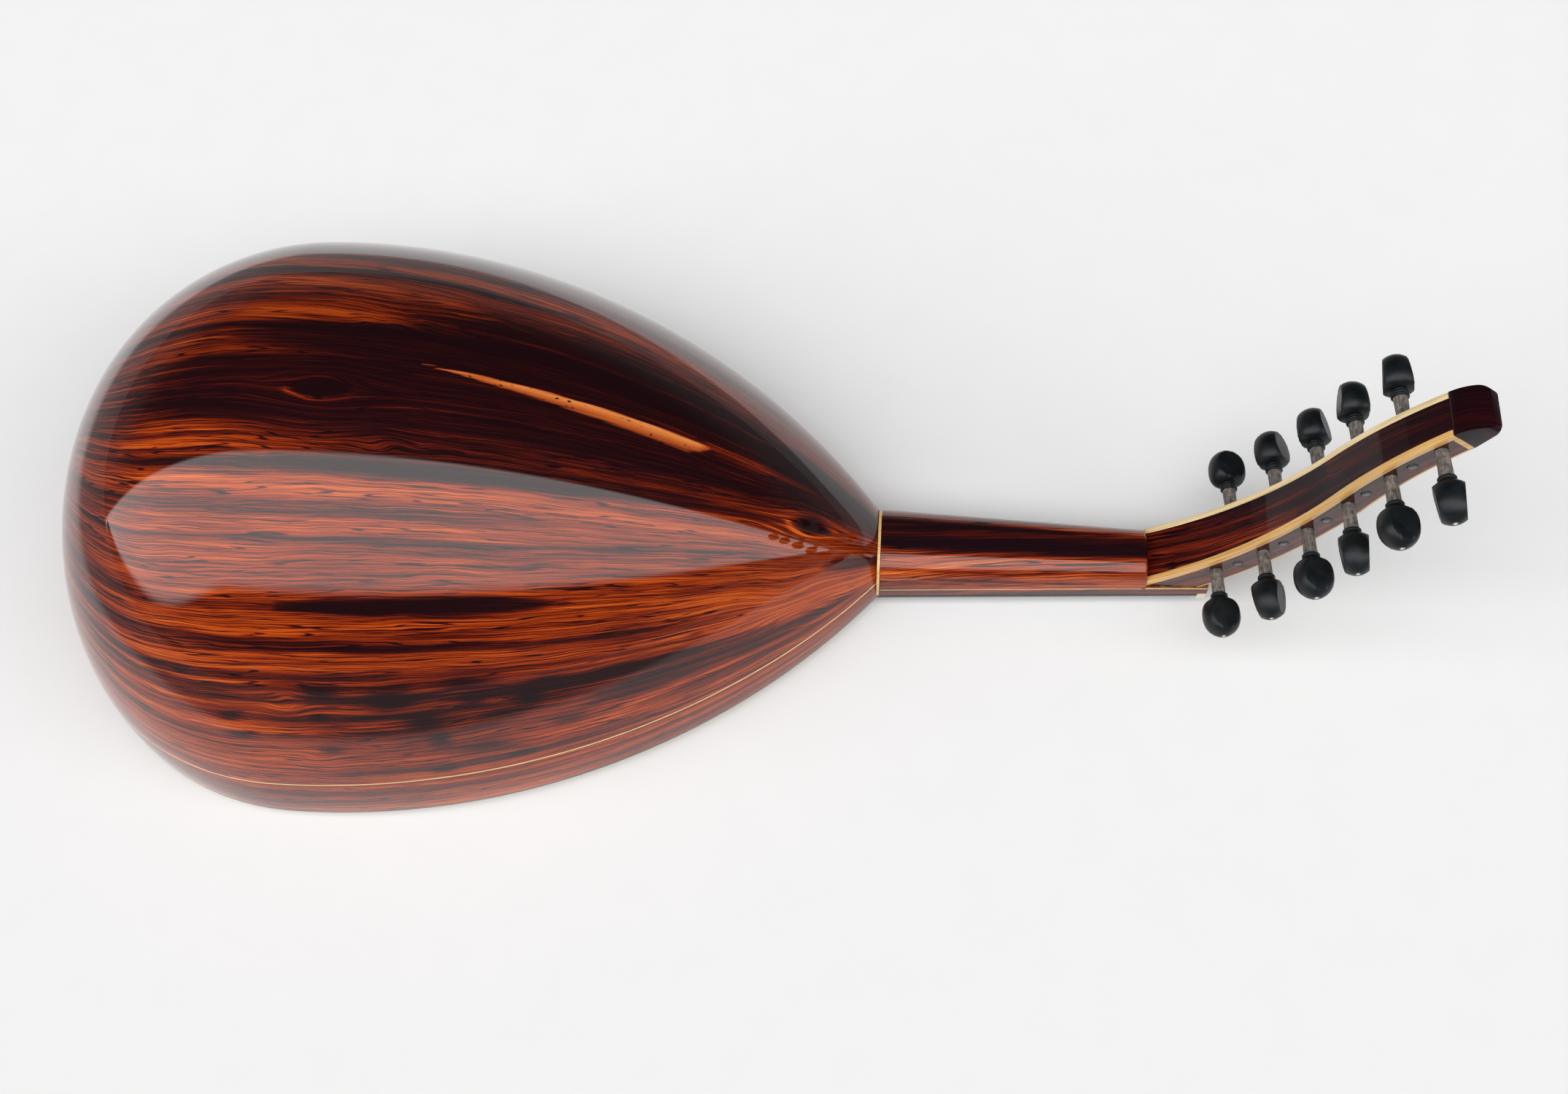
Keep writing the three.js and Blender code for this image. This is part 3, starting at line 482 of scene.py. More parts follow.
# Where each thin line fades, and where each threshold begins and ends.
RING_LINE = (0.03, 0.12)
RING_BREAKS = (-0.26, -0.02)
PENCIL_LINE = (0.0, 0.035)
HAIR_LINE = (0.0, 0.05)
PORE_EDGE = (0.14, 0.24)
SAP_PORE_EDGE = (0.235, 0.265)
SAP_EDGE = (0.30, 0.42)
SAP_EDGE_WAVER = 0.7
SAP_TONE_WEIGHTS = (0.5, 0.6)
SAP_STOPS = [
    (0.22, (0.30, 0.040, 0.008)), (0.42, (0.58, 0.135, 0.026)), (0.62, (0.76, 0.27, 0.070)),
]
SAP_PORE_COLOUR = (0.02, 0.008, 0.006, 1.0)


def rosewood(name, stops, coat=1.0):
    """Figured rosewood under gloss lacquer: dark streaks and fine wavy lines along the grain."""
    shader = Shader(name)
    along, across, seed = shader.parts(shader.attribute("grain", "Vector"))
    tone = shader.attribute("tone", "Fac")

    def layer(kind, side):
        """Noise about zero, drawn out along the grain."""
        long, wide, detail, shift = FIGURE_LAYERS[kind]
        place = shader.vector(
            shader.math("MULTIPLY", along, long), shader.math("MULTIPLY", side, wide),
            shader.math("ADD", seed, shift),
        )
        return shader.math("SUBTRACT", shader.noise(place, detail=detail, roughness=0.55), 0.5)

    def line(value, fade):
        """1 where a value is near zero, and 0 beyond."""
        return shader.spread(shader.math("ABSOLUTE", value), *fade, 1.0, 0.0)

    bent = shader.math("MULTIPLY_ADD", layer("sway", across), SWAY_SWING, across)
    bent = shader.math("MULTIPLY_ADD", layer("ripple", across), RIPPLE_SWING, bent)
    parts = {kind: layer(kind, bent) for kind in ("broad", "middle", "fine")}
    drift = shader.math("MULTIPLY", parts["broad"], RING_DRIFT)
    ring = shader.math("FRACT", shader.math("MULTIPLY_ADD", bent, RINGS_PER_METRE, drift))
    ring = line(shader.math("SUBTRACT", ring, 0.5), RING_LINE)
    parts["rings"] = shader.math("MULTIPLY", ring, shader.spread(layer("broken", bent), *RING_BREAKS))
    parts["pencil"] = line(layer("pencil", bent), PENCIL_LINE)
    parts["hair"] = line(layer("hair", bent), HAIR_LINE)
    parts["pores"] = shader.spread(layer("pores", across), *PORE_EDGE)
    dark = tone
    for kind, weight in FIGURE_WEIGHTS.items():
        dark = shader.math("MULTIPLY_ADD", parts[kind], weight, dark)
    fine = parts["fine"]
    sap = shader.attribute("sap", "Fac")
    sap_edge = shader.spread(shader.math("MULTIPLY_ADD", fine, SAP_EDGE_WAVER, sap), *SAP_EDGE)
    fine_weight, sap_weight = SAP_TONE_WEIGHTS
    sap_tone = shader.math("MULTIPLY_ADD", fine, fine_weight, shader.math("MULTIPLY", sap, sap_weight))
    sap_pores = shader.spread(layer("sap_pores", across), *SAP_PORE_EDGE)
    sapwood = shader.mix(sap_pores, shader.ramp(sap_tone, SAP_STOPS), SAP_PORE_COLOUR)
    return shader.finish(
        Base_Color=shader.mix(sap_edge, shader.ramp(dark, stops), sapwood), Roughness=0.42,
        Coat_Weight=coat, Coat_Roughness=0.02, Coat_IOR=1.5, Specular_IOR_Level=0.02,
        Normal=shader.bump(fine, 0.02, 0.0003),
    )


BOWL_STOPS = [
    (0.0, (0.70, 0.150, 0.018)),
    (0.16, (0.52, 0.082, 0.008)),
    (0.34, (0.29, 0.031, 0.0025)),
    (0.50, (0.125, 0.0100, 0.0025)),
    (0.66, (0.036, 0.0030, 0.0026)),
    (0.88, (0.010, 0.0014, 0.0026)),
]
NECK_STOPS = [
    (0.0, (0.62, 0.160, 0.034)),
    (0.20, (0.43, 0.070, 0.013)),
    (0.40, (0.21, 0.022, 0.005)),
    (0.56, (0.075, 0.0070, 0.003)),
    (0.74, (0.024, 0.0032, 0.004)),
    (0.92, (0.009, 0.0022, 0.004)),
]


def pale_wood(name, light, dark, roughness, coat, follows_grain=False):
    """Plain light or dark wood with fine fibres, along the instrument or along the piece's own grain."""
    shader = Shader(name)
    source = shader.attribute("grain", "Vector") if follows_grain else shader.place()
    along, across, up = shader.parts(source)
    side = shader.math("ADD", across, up)
    place = shader.stretched((along, 14.0), (side, 500.0), (up, 300.0))
    broad = shader.noise(place, detail=4.0, roughness=0.6)
    fine = shader.noise(shader.stretched((along, 60.0), (side, 2400.0), (up, 2400.0)), detail=2.0)
    value = shader.math("MULTIPLY_ADD", shader.math("SUBTRACT", fine, 0.5), 0.4, broad)
    bright = tuple(min(1.0, 1.15 * part) for part in light)
    colour = shader.ramp(value, [(0.3, dark), (0.55, light), (0.8, bright)])
    return shader.finish(
        Base_Color=colour, Roughness=roughness, Coat_Weight=coat, Coat_Roughness=0.04,
        Normal=shader.bump(value, 0.04, 0.0003),
    )


def growth_wood(name, light, dark, line_pitch, roughness, coat):
    """Straight-grained wood with even growth lines along the instrument."""
    shader = Shader(name)
    x, y, z = shader.parts(shader.place())
    drift = shader.noise(shader.stretched((x, 3.0), (y, 25.0), (z, 1.0)), detail=3.0)
    place = shader.math("MULTIPLY_ADD", y, 1 / line_pitch, shader.math("MULTIPLY", drift, 6.0))
    line = shader.math("POWER", shader.math("FRACT", place), 3.0)
    silk = shader.noise(shader.stretched((x, 120.0), (y, 3500.0), (z, 1.0)), detail=2.0)
    value = shader.math("MULTIPLY_ADD", silk, 0.45, shader.math("MULTIPLY", line, 0.55))
    colour = shader.ramp(value, [(0.15, light), (0.8, dark)])
    return shader.finish(
        Base_Color=colour, Roughness=roughness, Coat_Weight=coat, Coat_Roughness=0.06,
        Normal=shader.bump(value, 0.05, 0.0002),
    )


def ebony(name):
    """Turned ebony with a dull hand-rubbed surface."""
    shader = Shader(name)
    place = shader.place()
    cloud = shader.noise(place, scale=140.0, detail=4.0, roughness=0.6)
    fine = shader.noise(place, scale=1500.0, detail=2.0)
    return shader.finish(
        Base_Color=shader.ramp(cloud, [(0.3, (0.0022, 0.0034, 0.0045)), (0.7, (0.006, 0.009, 0.011))]),
        Roughness=shader.spread(cloud, 0.3, 0.7, 0.36, 0.48), Specular_IOR_Level=0.34,
        Normal=shader.bump(fine, 0.05, 0.0002),
    )


def worn_shank(name):
    """The bare shank, greyed by chalk and graphite."""
    shader = Shader(name)
    place = shader.place()
    x, y, z = shader.parts(place)
    streak = shader.noise(shader.stretched((x, 900.0), (y, 140.0), (z, 900.0)), detail=4.0, roughness=0.65)
    blotch = shader.noise(place, scale=420.0, detail=3.0)
    value = shader.math("MULTIPLY_ADD", shader.math("SUBTRACT", blotch, 0.5), 0.7, streak)
    colour = shader.ramp(value, [
        (0.25, (0.040, 0.036, 0.034)), (0.5, (0.13, 0.11, 0.097)), (0.75, (0.28, 0.25, 0.22)),
    ])
    return shader.finish(Base_Color=colour, Roughness=0.55, Normal=shader.bump(value, 0.15, 0.0002))


def plain(name, colour, roughness, metallic=0.0, coat=0.0, cloud_scale=300.0, cloud_share=0.15):
    """An even material with a slight clouding of its colour."""
    shader = Shader(name)
    cloud = shader.noise(shader.place(), scale=cloud_scale, detail=3.0)
    low = tuple(part * (1 - cloud_share) for part in colour)
    high = tuple(min(1.0, part * (1 + cloud_share)) for part in colour)
    return shader.finish(
        Base_Color=shader.ramp(cloud, [(0.3, low), (0.7, high)]),
        Roughness=shader.spread(cloud, 0.3, 0.7, roughness * 0.9, roughness * 1.1),
        Metallic=metallic, Coat_Weight=coat, Coat_Roughness=0.05,
    )


bowl_wood = rosewood("bowl_rosewood", BOWL_STOPS)
neck_wood = rosewood("neck_rosewood", NECK_STOPS)
box_wood = rosewood("pegbox_rosewood", NECK_STOPS, coat=0.45)
maple = pale_wood("maple", (0.80, 0.50, 0.20), (0.62, 0.34, 0.11), 0.3, 0.6)
golden_maple = pale_wood("golden_maple", (0.74, 0.43, 0.14), (0.50, 0.24, 0.06), 0.3, 0.5, True)
cream_maple = pale_wood("cream_maple", (0.82, 0.64, 0.36), (0.66, 0.44, 0.19), 0.3, 0.5, True)
spruce = pale_wood("spruce", (0.72, 0.48, 0.25), (0.56, 0.34, 0.15), 0.45, 0.15)
board_spruce = growth_wood("soundboard_spruce", (0.74, 0.47, 0.21), (0.50, 0.26, 0.09), 0.0013, 0.42, 0.25)
guard_wood = growth_wood("pickguard_rosewood", (0.13, 0.032, 0.014), (0.022, 0.008, 0.007), 0.0017, 0.3, 0.6)
board_wood = growth_wood("fingerboard_ebony", (0.020, 0.017, 0.016), (0.008, 0.008, 0.008), 0.0011, 0.4, 0.1)
rosette_wood = pale_wood("rosette_wood", (0.58, 0.36, 0.16), (0.42, 0.23, 0.09), 0.45, 0.1)
raw_wood = pale_wood("raw_wood", (0.66, 0.48, 0.29), (0.54, 0.37, 0.2), 0.7, 0.0)
dark_wood = pale_wood("dark_wood", (0.085, 0.026, 0.014), (0.030, 0.010, 0.008), 0.35, 0.6)
black_wood = ebony("ebony")
button_wood = plain("polished_ebony", (0.010, 0.011, 0.012), 0.16, coat=0.6)
shank_wood = worn_shank("worn_shank")
bone = plain("bone", (0.82, 0.75, 0.58), 0.35)
nylon = plain("nylon", (0.80, 0.78, 0.70), 0.3)
wound_wire = plain("wound_wire", (0.60, 0.58, 0.54), 0.32, 1.0)
pearl = plain("pearl", (0.80, 0.80, 0.78), 0.25, 0.0, 0.5, 2500.0, 0.2)
silver = plain("silver", (0.75, 0.74, 0.70), 0.3, 1.0)


# Figure of the bowl. Places are (distance along the rim in metres, degrees from the right rim).

# A streak thins to this share of its width before it ends.
NARROWEST = 0.05
# Waves that stagger the ends of a streak: height, waves per unit across it, shift per unit of its start.
FRAY_WAVES = ((1.5, 5.1, 40.0), (1.0, 2.3, 0.0))


def falloff(value):
    """1 inside, 0 outside, smooth in between, of a distance that is 1 at the edge."""
    share = np.clip(1.5 - value, 0.0, 1.0)
    return share ** 2 * (3 - 2 * share)


def climb(share, steepness, power=1.0):
    """Grows from 0 to 1 with a share, and then stays at 1."""
    return np.clip(steepness * share, 0.0, 1.0) ** power


def streaks_at(along, across, streaks, fray=0.0, sharpness=4, bluntness=0.5, fade=0.0):
    """Darkness of tapered streaks. Fray staggers their ends, and fade thins the darkness towards them."""
    tone = np.zeros_like(along)
    for start, end, low, high, half, depth in streaks:
        share = (along - start) / (end - start)
        centre = blend(low, high, np.clip(share, 0.0, 1.0))
        for height, waves, shift in FRAY_WAVES:
            share += fray * height * np.sin(waves * across + shift * start)
        taper = np.clip(1.0 - np.abs(2 * share - 1) ** sharpness, 0.0, 1.0) ** bluntness
        body = falloff(np.abs(across - centre) / (half * np.maximum(taper, NARROWEST)))
        tone += depth * body * np.where(taper > 0.0, taper ** fade, 0.0)
    return tone


# Streaks: start, end, degrees at the start, degrees at the end, half width in degrees, darkness.
BOWL_STREAKS = (
    (0.17, 0.60, 88.5, 85.0, 8.0, 0.38),
    (0.24, 0.62, 99.0, 99.0, 4.5, 0.42),
    (0.32, 0.64, 106.0, 104.0, 4.0, 0.34),
    (0.36, 0.62, 112.0, 108.0, 3.0, 0.26),
    (0.20, 0.44, 118.6, 118.6, 0.7, 0.34),
    (0.05, 0.33, 114.5, 114.5, 1.8, -0.10),
    (0.24, 0.44, 114.6, 111.2, 1.9, -0.13),
    (0.20, 0.355, 105.6, 104.6, 1.4, -0.10),
    (0.05, 0.34, 103.6, 103.6, 0.8, -0.12),
    (0.05, 0.26, 98.2, 98.2, 0.8, -0.20),
    (0.05, 0.24, 95.6, 95.0, 0.6, -0.16),
    (0.05, 0.22, 88.0, 86.5, 0.7, -0.14),
    (0.05, 0.30, 79.6, 79.0, 0.5, 0.18),
    (0.05, 0.26, 76.6, 76.2, 0.5, 0.16),
    (0.28, 0.40, 114.6, 113.4, 0.5, 0.22),
    (0.12, 0.30, 101.4, 101.0, 0.9, 0.18),
    (0.12, 0.46, 74.6, 73.4, 1.0, 0.26),
    (0.26, 0.58, 74.8, 74.8, 1.8, 0.30),
    (0.10, 0.42, 70.0, 69.6, 1.3, -0.16),
    (0.16, 0.40, 66.4, 66.0, 0.5, 0.18),
    (0.12, 0.48, 62.0, 61.6, 0.6, 0.18),
    (0.28, 0.43, 50.6, 50.3, 1.5, 0.46),
    (0.08, 0.34, 50.8, 50.2, 0.8, 0.24),
    (0.08, 0.40, 44.2, 43.2, 1.1, 0.34),
    (0.30, 0.50, 42.6, 42.0, 0.5, 0.20),
    (0.08, 0.46, 38.0, 37.2, 0.9, 0.28),
    (0.12, 0.40, 35.6, 35.2, 0.5, 0.20),
    (0.12, 0.40, 33.6, 32.8, 0.8, 0.26),
    (0.36, 0.56, 32.2, 33.4, 1.4, 0.36),
    (0.10, 0.36, 29.4, 29.0, 0.8, 0.20),
    (0.44, 0.62, 26.0, 30.0, 3.2, 0.30),
    (0.46, 0.60, 20.5, 22.0, 2.0, 0.24),
    (0.05, 0.30, 25.0, 24.6, 0.9, 0.22),
    (0.10, 0.62, 14.4, 15.5, 0.8, 0.12),
    (0.05, 0.62, 8.0, 8.0, 1.0, 0.20),
    (0.05, 0.62, 3.5, 4.0, 1.2, 0.16),
    (0.10, 0.60, 123.0, 120.0, 1.5, -0.10),
    (0.10, 0.60, 131.0, 128.0, 1.6, 0.26),
    (0.54, 0.70, 98.0, 96.0, 15.0, 0.30),
    (0.585, 0.66, 55.0, 58.0, 4.0, 0.34),
    (0.48, 0.66, 40.0, 42.0, 9.0, -0.10),
    (0.27, 0.50, 28.0, 28.0, 6.0, 0.15),
    (-0.08, 0.21, 66.0, 66.0, 42.0, 0.11),
    (0.05, 0.60, 140.0, 137.0, 2.2, 0.20),
    (0.05, 0.60, 150.0, 148.0, 2.0, 0.22),
    (0.05, 0.60, 160.0, 160.0, 2.0, 0.18),
    (0.05, 0.60, 170.0, 170.0, 2.0, 0.20),
)
# Dark smudges: distance, degrees, half length in metres, half width in degrees, darkness.
BOWL_SMUDGES = (
    (0.300, 34.6, 0.008, 0.9, 0.45),
    (0.337, 32.6, 0.010, 1.6, 0.50),
    (0.352, 27.4, 0.010, 1.7, 0.50),
    (0.358, 22.6, 0.005, 1.3, 0.45),
    (0.378, 30.8, 0.006, 1.0, 0.35),
    (0.394, 27.6, 0.012, 0.8, 0.40),
    (0.408, 30.4, 0.006, 1.6, 0.40),
    (0.375, 35.6, 0.012, 1.1, 0.30),
    (0.300, 21.6, 0.006, 0.9, 0.35),
    (0.322, 25.6, 0.014, 0.6, 0.30),
    (0.250, 29.4, 0.005, 0.7, 0.40),
    (0.252, 25.0, 0.006, 0.7, 0.30),
    (0.298, 29.6, 0.004, 0.7, 0.35),
    (0.356, 14.0, 0.006, 0.7, 0.45),
    (0.400, 15.2, 0.006, 0.8, 0.40),
    (0.380, 19.2, 0.014, 1.6, 0.30),
    (0.428, 22.6, 0.010, 1.2, 0.28),
    (0.418, 34.0, 0.008, 0.6, 0.25),
)
# Knots: distance, degrees, half length in metres, half width in degrees, how far they part the grain.
BOWL_KNOTS = (
    (0.298, 88.2, 0.020, 2.6, 0.9),
    (0.578, 76.0, 0.020, 6.0, 0.85),
    (0.281, 33.0, 0.008, 1.6, 0.8),
    (0.293, 21.5, 0.007, 1.6, 0.7),
    (0.325, 105.0, 0.013, 1.7, -0.8),
    (0.372, 113.0, 0.018, 1.8, -0.8),
    (0.330, 78.6, 0.016, 1.5, 0.6),
    (0.560, 40.0, 0.014, 5.0, -0.7),
    (0.588, 30.0, 0.016, 5.0, 0.8),
    (0.555, 23.0, 0.012, 3.0, -0.6),
)
SAPWOOD_START = 0.343
SAPWOOD_END = 0.512
SAPWOOD_EDGE_DEGREES = (95.3, 93.2)
SAPWOOD_WIDTH_DEGREES = 4.0
# Ripples of the grain: distance, degrees, half length, half width in degrees, wave length, swing in degrees.
BOWL_RIPPLES = (
    (0.330, 104.6, 0.022, 2.0, 0.017, 0.40),
    (0.400, 112.6, 0.034, 2.4, 0.026, 0.40),
    (0.350, 78.6, 0.026, 2.0, 0.028, 0.30),
    (0.560, 104.0, 0.040, 7.0, 0.030, 0.70),
)
GRAIN_RADIUS = 0.155
BOWL_TONE = 0.44
# Painted light: the bowl's wood is painted lighter towards the right rim, the side under the broad light,
# fully up to 40 degrees from the rim and gone by 120.
PAINTED_LIGHT_SIDE_DEGREES = 80.0
PAINTED_LIGHT_SIDE_LIFT = 0.155
TAIL_LIFT_FROM = 0.215
TAIL_LIFT = 1100.0

# The first knots have a dark eye in a light ring. Sizes are shares of the knot's.
EYED_KNOTS = 2
KNOT_REACH_ACROSS = 0.55
KNOT_EYE = 0.62
KNOT_EYE_TONE = 0.5
KNOT_RING = 1.45
KNOT_RING_WIDTH = 0.20
KNOT_RING_TONE = 0.34
KNOT_RING_LIT_AT = 0.6
KNOT_RING_LEAST = 0.25
RIPPLE_SLANT = 0.11
SMUDGE_SHARPNESS = 0.8
SAPWOOD_EDGE_SOFTNESS = 0.35
# How the sapwood widens from its start and narrows to its end: steepness and power.
SAPWOOD_WIDENING = (1.25, 0.8)
SAPWOOD_NARROWING = (9.0, 0.5)
SAPWOOD_FADE = (1.15, 0.80)
SAPWOOD_END_STEEPNESS = (40.0, 14.0)


def parted(distance, degrees):
    """Degrees across the grain, where the knots part it and the ripples swing it."""
    warped = degrees.copy()
    for place, centre, length, width, push in BOWL_KNOTS:
        near = (distance - place) / length
        side = (degrees - centre) / width
        reach = np.exp(-0.5 * (near ** 2 + (KNOT_REACH_ACROSS * side) ** 2))
        warped -= push * width * reach * np.sign(side) * np.minimum(np.abs(side), 1.0)
    for place, centre, length, width, wave, swing in BOWL_RIPPLES:
        reach = np.exp(-((distance - place) / length) ** 2 - ((degrees - centre) / width) ** 2)
        warped += swing * reach * np.sin(2 * math.pi * (distance / wave + RIPPLE_SLANT * degrees))
    return warped


def knot_eyes(distance, degrees):
    """The eyes and their rings, which are lit on the side below and towards the tail."""
    tone = np.zeros_like(distance)
    for place, centre, length, width, _ in BOWL_KNOTS[:EYED_KNOTS]:
        near = (distance - place) / length
        eye = np.hypot(near, (degrees - centre) / width) / KNOT_EYE
        lit = np.clip(KNOT_RING_LIT_AT - near, KNOT_RING_LEAST, 1.0) * (degrees < centre)
        tone += KNOT_EYE_TONE * np.exp(-eye ** 4)
        tone -= KNOT_RING_TONE * np.exp(-((eye - KNOT_RING) / KNOT_RING_WIDTH) ** 2) * lit
    return tone


def sapwood_share(distance, degrees):
    """The light streak: sharp at its upper edge, fading below it, and drawn to a point at its start."""
    share = (distance - SAPWOOD_START) / (SAPWOOD_END - SAPWOOD_START)
    below = blend(*SAPWOOD_EDGE_DEGREES, share) - degrees
    swell = climb(share, *SAPWOOD_WIDENING) * climb(1 - share, *SAPWOOD_NARROWING)
    under = below / (SAPWOOD_WIDTH_DEGREES * np.maximum(swell, NARROWEST))
    full, loss = SAPWOOD_FADE
    near, far = SAPWOOD_END_STEEPNESS
    ends = climb(share, near) * climb(1 - share, far)
    return climb(below, 1 / SAPWOOD_EDGE_SOFTNESS) * np.clip(full - loss * under, 0.0, 1.0) * ends


def bowl_figure(distance, angle):
    """Place across the grain, darkness with a painted lighter side, and sapwood share at points of the
    bowl's skin.
    """
    degrees = np.degrees(angle) - TAIL_LIFT * np.clip(TAIL_LIFT_FROM - distance, 0.0, None) ** 2
    # Painted light: lighter over the right side, where the broad light falls.
    tone = BOWL_TONE - PAINTED_LIGHT_SIDE_LIFT * falloff(degrees / PAINTED_LIGHT_SIDE_DEGREES)
    tone += streaks_at(distance, degrees, BOWL_STREAKS, fray=0.02, sharpness=3, bluntness=0.6, fade=0.7)
    for place, centre, length, width, depth in BOWL_SMUDGES:
        spot = np.hypot((distance - place) / length, (degrees - centre) / width)
        tone += depth * np.exp(-SMUDGE_SHARPNESS * spot ** 2)
    tone += knot_eyes(distance, degrees)
    across = np.radians(parted(distance, degrees)) * GRAIN_RADIUS
    return across, tone, sapwood_share(distance, degrees)


# Bowl pieces

BOWL_ROWS = 300
RIB_COLUMNS = 32
LINE_COLUMNS = 4
CLASP_ROWS = 24
CLASP_COLUMNS = 96
CLASP_TONE = 0.36
CLASP_SEED = 0.3


def stave(name, distance, low, high, columns, material, slot, replaced=()):
    """A bent strip of the bowl between two angles at each distance along the rim."""
    angle = blend(low[:, None], high[:, None], np.linspace(0.0, 1.0, columns))
    ends = np.stack([low, high], -1)
    rows = distance[:, None]
    piece = shell(name, bowl_point(rows, angle), bowl_point(rows, ends, RIB_THICKNESS))
    along = np.concatenate([np.repeat(distance, columns), np.repeat(distance, 2)])
    add_figure(piece, along, *bowl_figure(along, np.concatenate([angle.ravel(), ends.ravel()])))
    finish_piece(piece, material, slot, replaced=replaced)


def build_bowl():
    """Ribs between the seams, a rim band below them on each side, and a pale line at the band's top."""
    distance = np.linspace(CLASP_EDGE + SEAM, RIM_LENGTH - SEAM, BOWL_ROWS)
    line = across_angle(PURFLING_WIDTH / 2, distance)
    right, *seams, left = (seam_angle(index, distance) for index in range(RIB_COUNT + 1))
    sides = zip([right + line, *seams], [*seams, left - line])
    for number, (low, high) in enumerate(sides, 1):
        stave(
            f"rib_veneer_{number}", distance, low, high, RIB_COLUMNS, bowl_wood, "rib_wood",
            [f"rib_{number}"],
        )
    half_turn = np.full_like(line, math.pi)
    for side, low, high in (("right", 0 * line, right - line), ("left", left + line, half_turn)):
        stave(
            f"rim_band_veneer_{side}", distance, low, high, RIB_COLUMNS, bowl_wood, "rib_wood",
            [f"rim_band_{side}"],
        )
    for side, seam in (("right", right), ("left", left)):
        stave(
            f"rim_purfling_{side}", distance, seam - line, seam + line, LINE_COLUMNS, maple, "pale_wood",
        )


def build_clasp():
    """The clasp over the rib ends: rings about the middle of the tail."""
    rows, columns = CLASP_ROWS, CLASP_COLUMNS
    angle, distance = np.meshgrid(
        np.linspace(0.0, math.pi, columns), CLASP_EDGE * np.linspace(1.0, 0.0, rows, endpoint=False),
    )
    outer = bowl_point(distance, angle)
    inner = bowl_point(distance, angle, RIB_THICKNESS)
    tips = np.array([[-BOWL_LENGTH, 0, 0], [-BOWL_LENGTH + RIB_THICKNESS, 0, 0]]) + ORIGIN
    count = rows * columns
    faces = grid_faces(rows, columns) + grid_faces(rows, columns, count)
    last = (rows - 1) * columns
    for column in range(columns - 1):
        faces.append([column, column + 1, count + column + 1, count + column])
        faces.append([last + column, last + column + 1, 2 * count])
        faces.append([count + last + column, count + last + column + 1, 2 * count + 1])
    for column in (0, columns - 1):
        for row in range(rows - 1):
            low = row * columns + column
            faces.append([low, low + columns, count + low + columns, count + low])
        faces.append([last + column, 2 * count, 2 * count + 1, count + last + column])
    points = np.concatenate([outer.reshape(-1, 3), inner.reshape(-1, 3), tips])
    piece = make_object("end_clasp_cap", points, faces)
    _, y, z = vertices(piece).T
    add_figure(piece, y, z, CLASP_TONE, seed=CLASP_SEED)
    finish_piece(piece, bowl_wood, "dark_wood", replaced=["end_clasp"])


build_bowl()
build_clasp()


# Neck

NECK_STATIONS = 48
NECK_END_STATIONS = 9
NECK_STEPS = 56
NECK_TAPER_END = 0.004
SIDE_LINE_RISE = 0.0068
SIDE_LINE_HEIGHT = 0.0006
SIDE_LINE_STATIONS = 24
SIDE_LINE_END = 0.002
SEAT_LINE_HEIGHT = 0.0009
SEAT_LINE_STATIONS = 12
SEAT_LINE_UNDER_WALL = 0.002
LINE_PROUD = 0.00004
LINE_DEPTH = 0.0004
NECK_GRAIN_RADIUS = 0.022
NECK_GRAIN_SLANT = 0.06
NECK_SEED = 4.7
NECK_TONE = 0.40
NECK_END_ROUNDING = 0.0018
CUTTER_TOP = 0.12
CUTTER_REACH = 0.08
CUTTER_OVERRUN = 0.02


def on_neck(x, at_joint, at_nut):
    return blend(at_joint, at_nut, x / NECK_LENGTH)


def neck_half(x):
    return on_neck(x, JOINT_HALF_WIDTH, NUT_HALF_WIDTH)


def neck_depth(x):
    return on_neck(x, NECK_DEPTH_AT_JOINT, NECK_DEPTH_AT_NUT) - NECK_FACE


def end_drop(x):
    """How far the neck's back rounds down towards the edge where the pegbox begins."""
    past = np.clip(x - BOX_SEAT_START + NECK_END_ROUNDING, 0.0, NECK_END_ROUNDING)
    return NECK_END_ROUNDING - math.sqrt(NECK_END_ROUNDING ** 2 - past ** 2)


def neck_fullness(x, side):
    """2 gives an ellipse, more gives a squarer section, and the right side (-1) is the squarer one."""
    index = 0 if side > 0 else 1
    return on_neck(x, NECK_FULLNESS_AT_JOINT[index], NECK_FULLNESS_AT_NUT[index])


def neck_ring(x):
    """Half of a rounded square across the neck, from the left edge to the right one."""
    angle = np.linspace(0.0, math.pi, NECK_STEPS + 1)
    side = np.cos(angle)
    power = 2 / np.where(side > 0, neck_fullness(x, 1), neck_fullness(x, -1))
    y = neck_half(x) * np.sign(side) * np.abs(side) ** power
    rise = (neck_depth(x) - end_drop(x)) * np.abs(np.sin(angle)) ** power
    return np.stack([np.full_like(angle, x), y, NECK_FACE + rise], -1) + ORIGIN


def seat_z(x):
    share = (x - BOX_SEAT_START) / (NECK_LENGTH - BOX_SEAT_START)
    return blend(BOX_ROOT_HEIGHT, BOX_SEAT_HEIGHT, share)


def prism(name, outline, half_width):
    """A plate that stands in the XZ plane, as wide on the left as on the right."""
    x, z = np.asarray(outline, float).T
    sides = [np.stack([x, np.full_like(x, y), z], -1) + ORIGIN for y in (-half_width, half_width)]
    return loft(name, sides)


def above_seat():
    """The space over the neck's seat, where the pegbox stands."""
    far = NECK_LENGTH + CUTTER_OVERRUN
    start = BOX_SEAT_START
    outline = [(start, BOX_ROOT_HEIGHT), (far, seat_z(far)), (far, CUTTER_TOP), (start, CUTTER_TOP)]
    return prism("seat_cutter", outline, 2 * JOINT_HALF_WIDTH)


def neck_zone():
    """What the neck fills, plus a gap."""
    far = NECK_LENGTH + GLUE_GAP
    root = BOX_SEAT_START + GLUE_GAP
    start = BOX_SEAT_START - CUTTER_REACH
    outline = [
        (start, -CUTTER_REACH), (far, -CUTTER_REACH), (far, seat_z(far) + GLUE_GAP),
        (root, BOX_ROOT_HEIGHT + GLUE_GAP), (root, CUTTER_TOP), (start, CUTTER_TOP),
    ]
    return prism("neck_cutter", outline, 2 * JOINT_HALF_WIDTH)


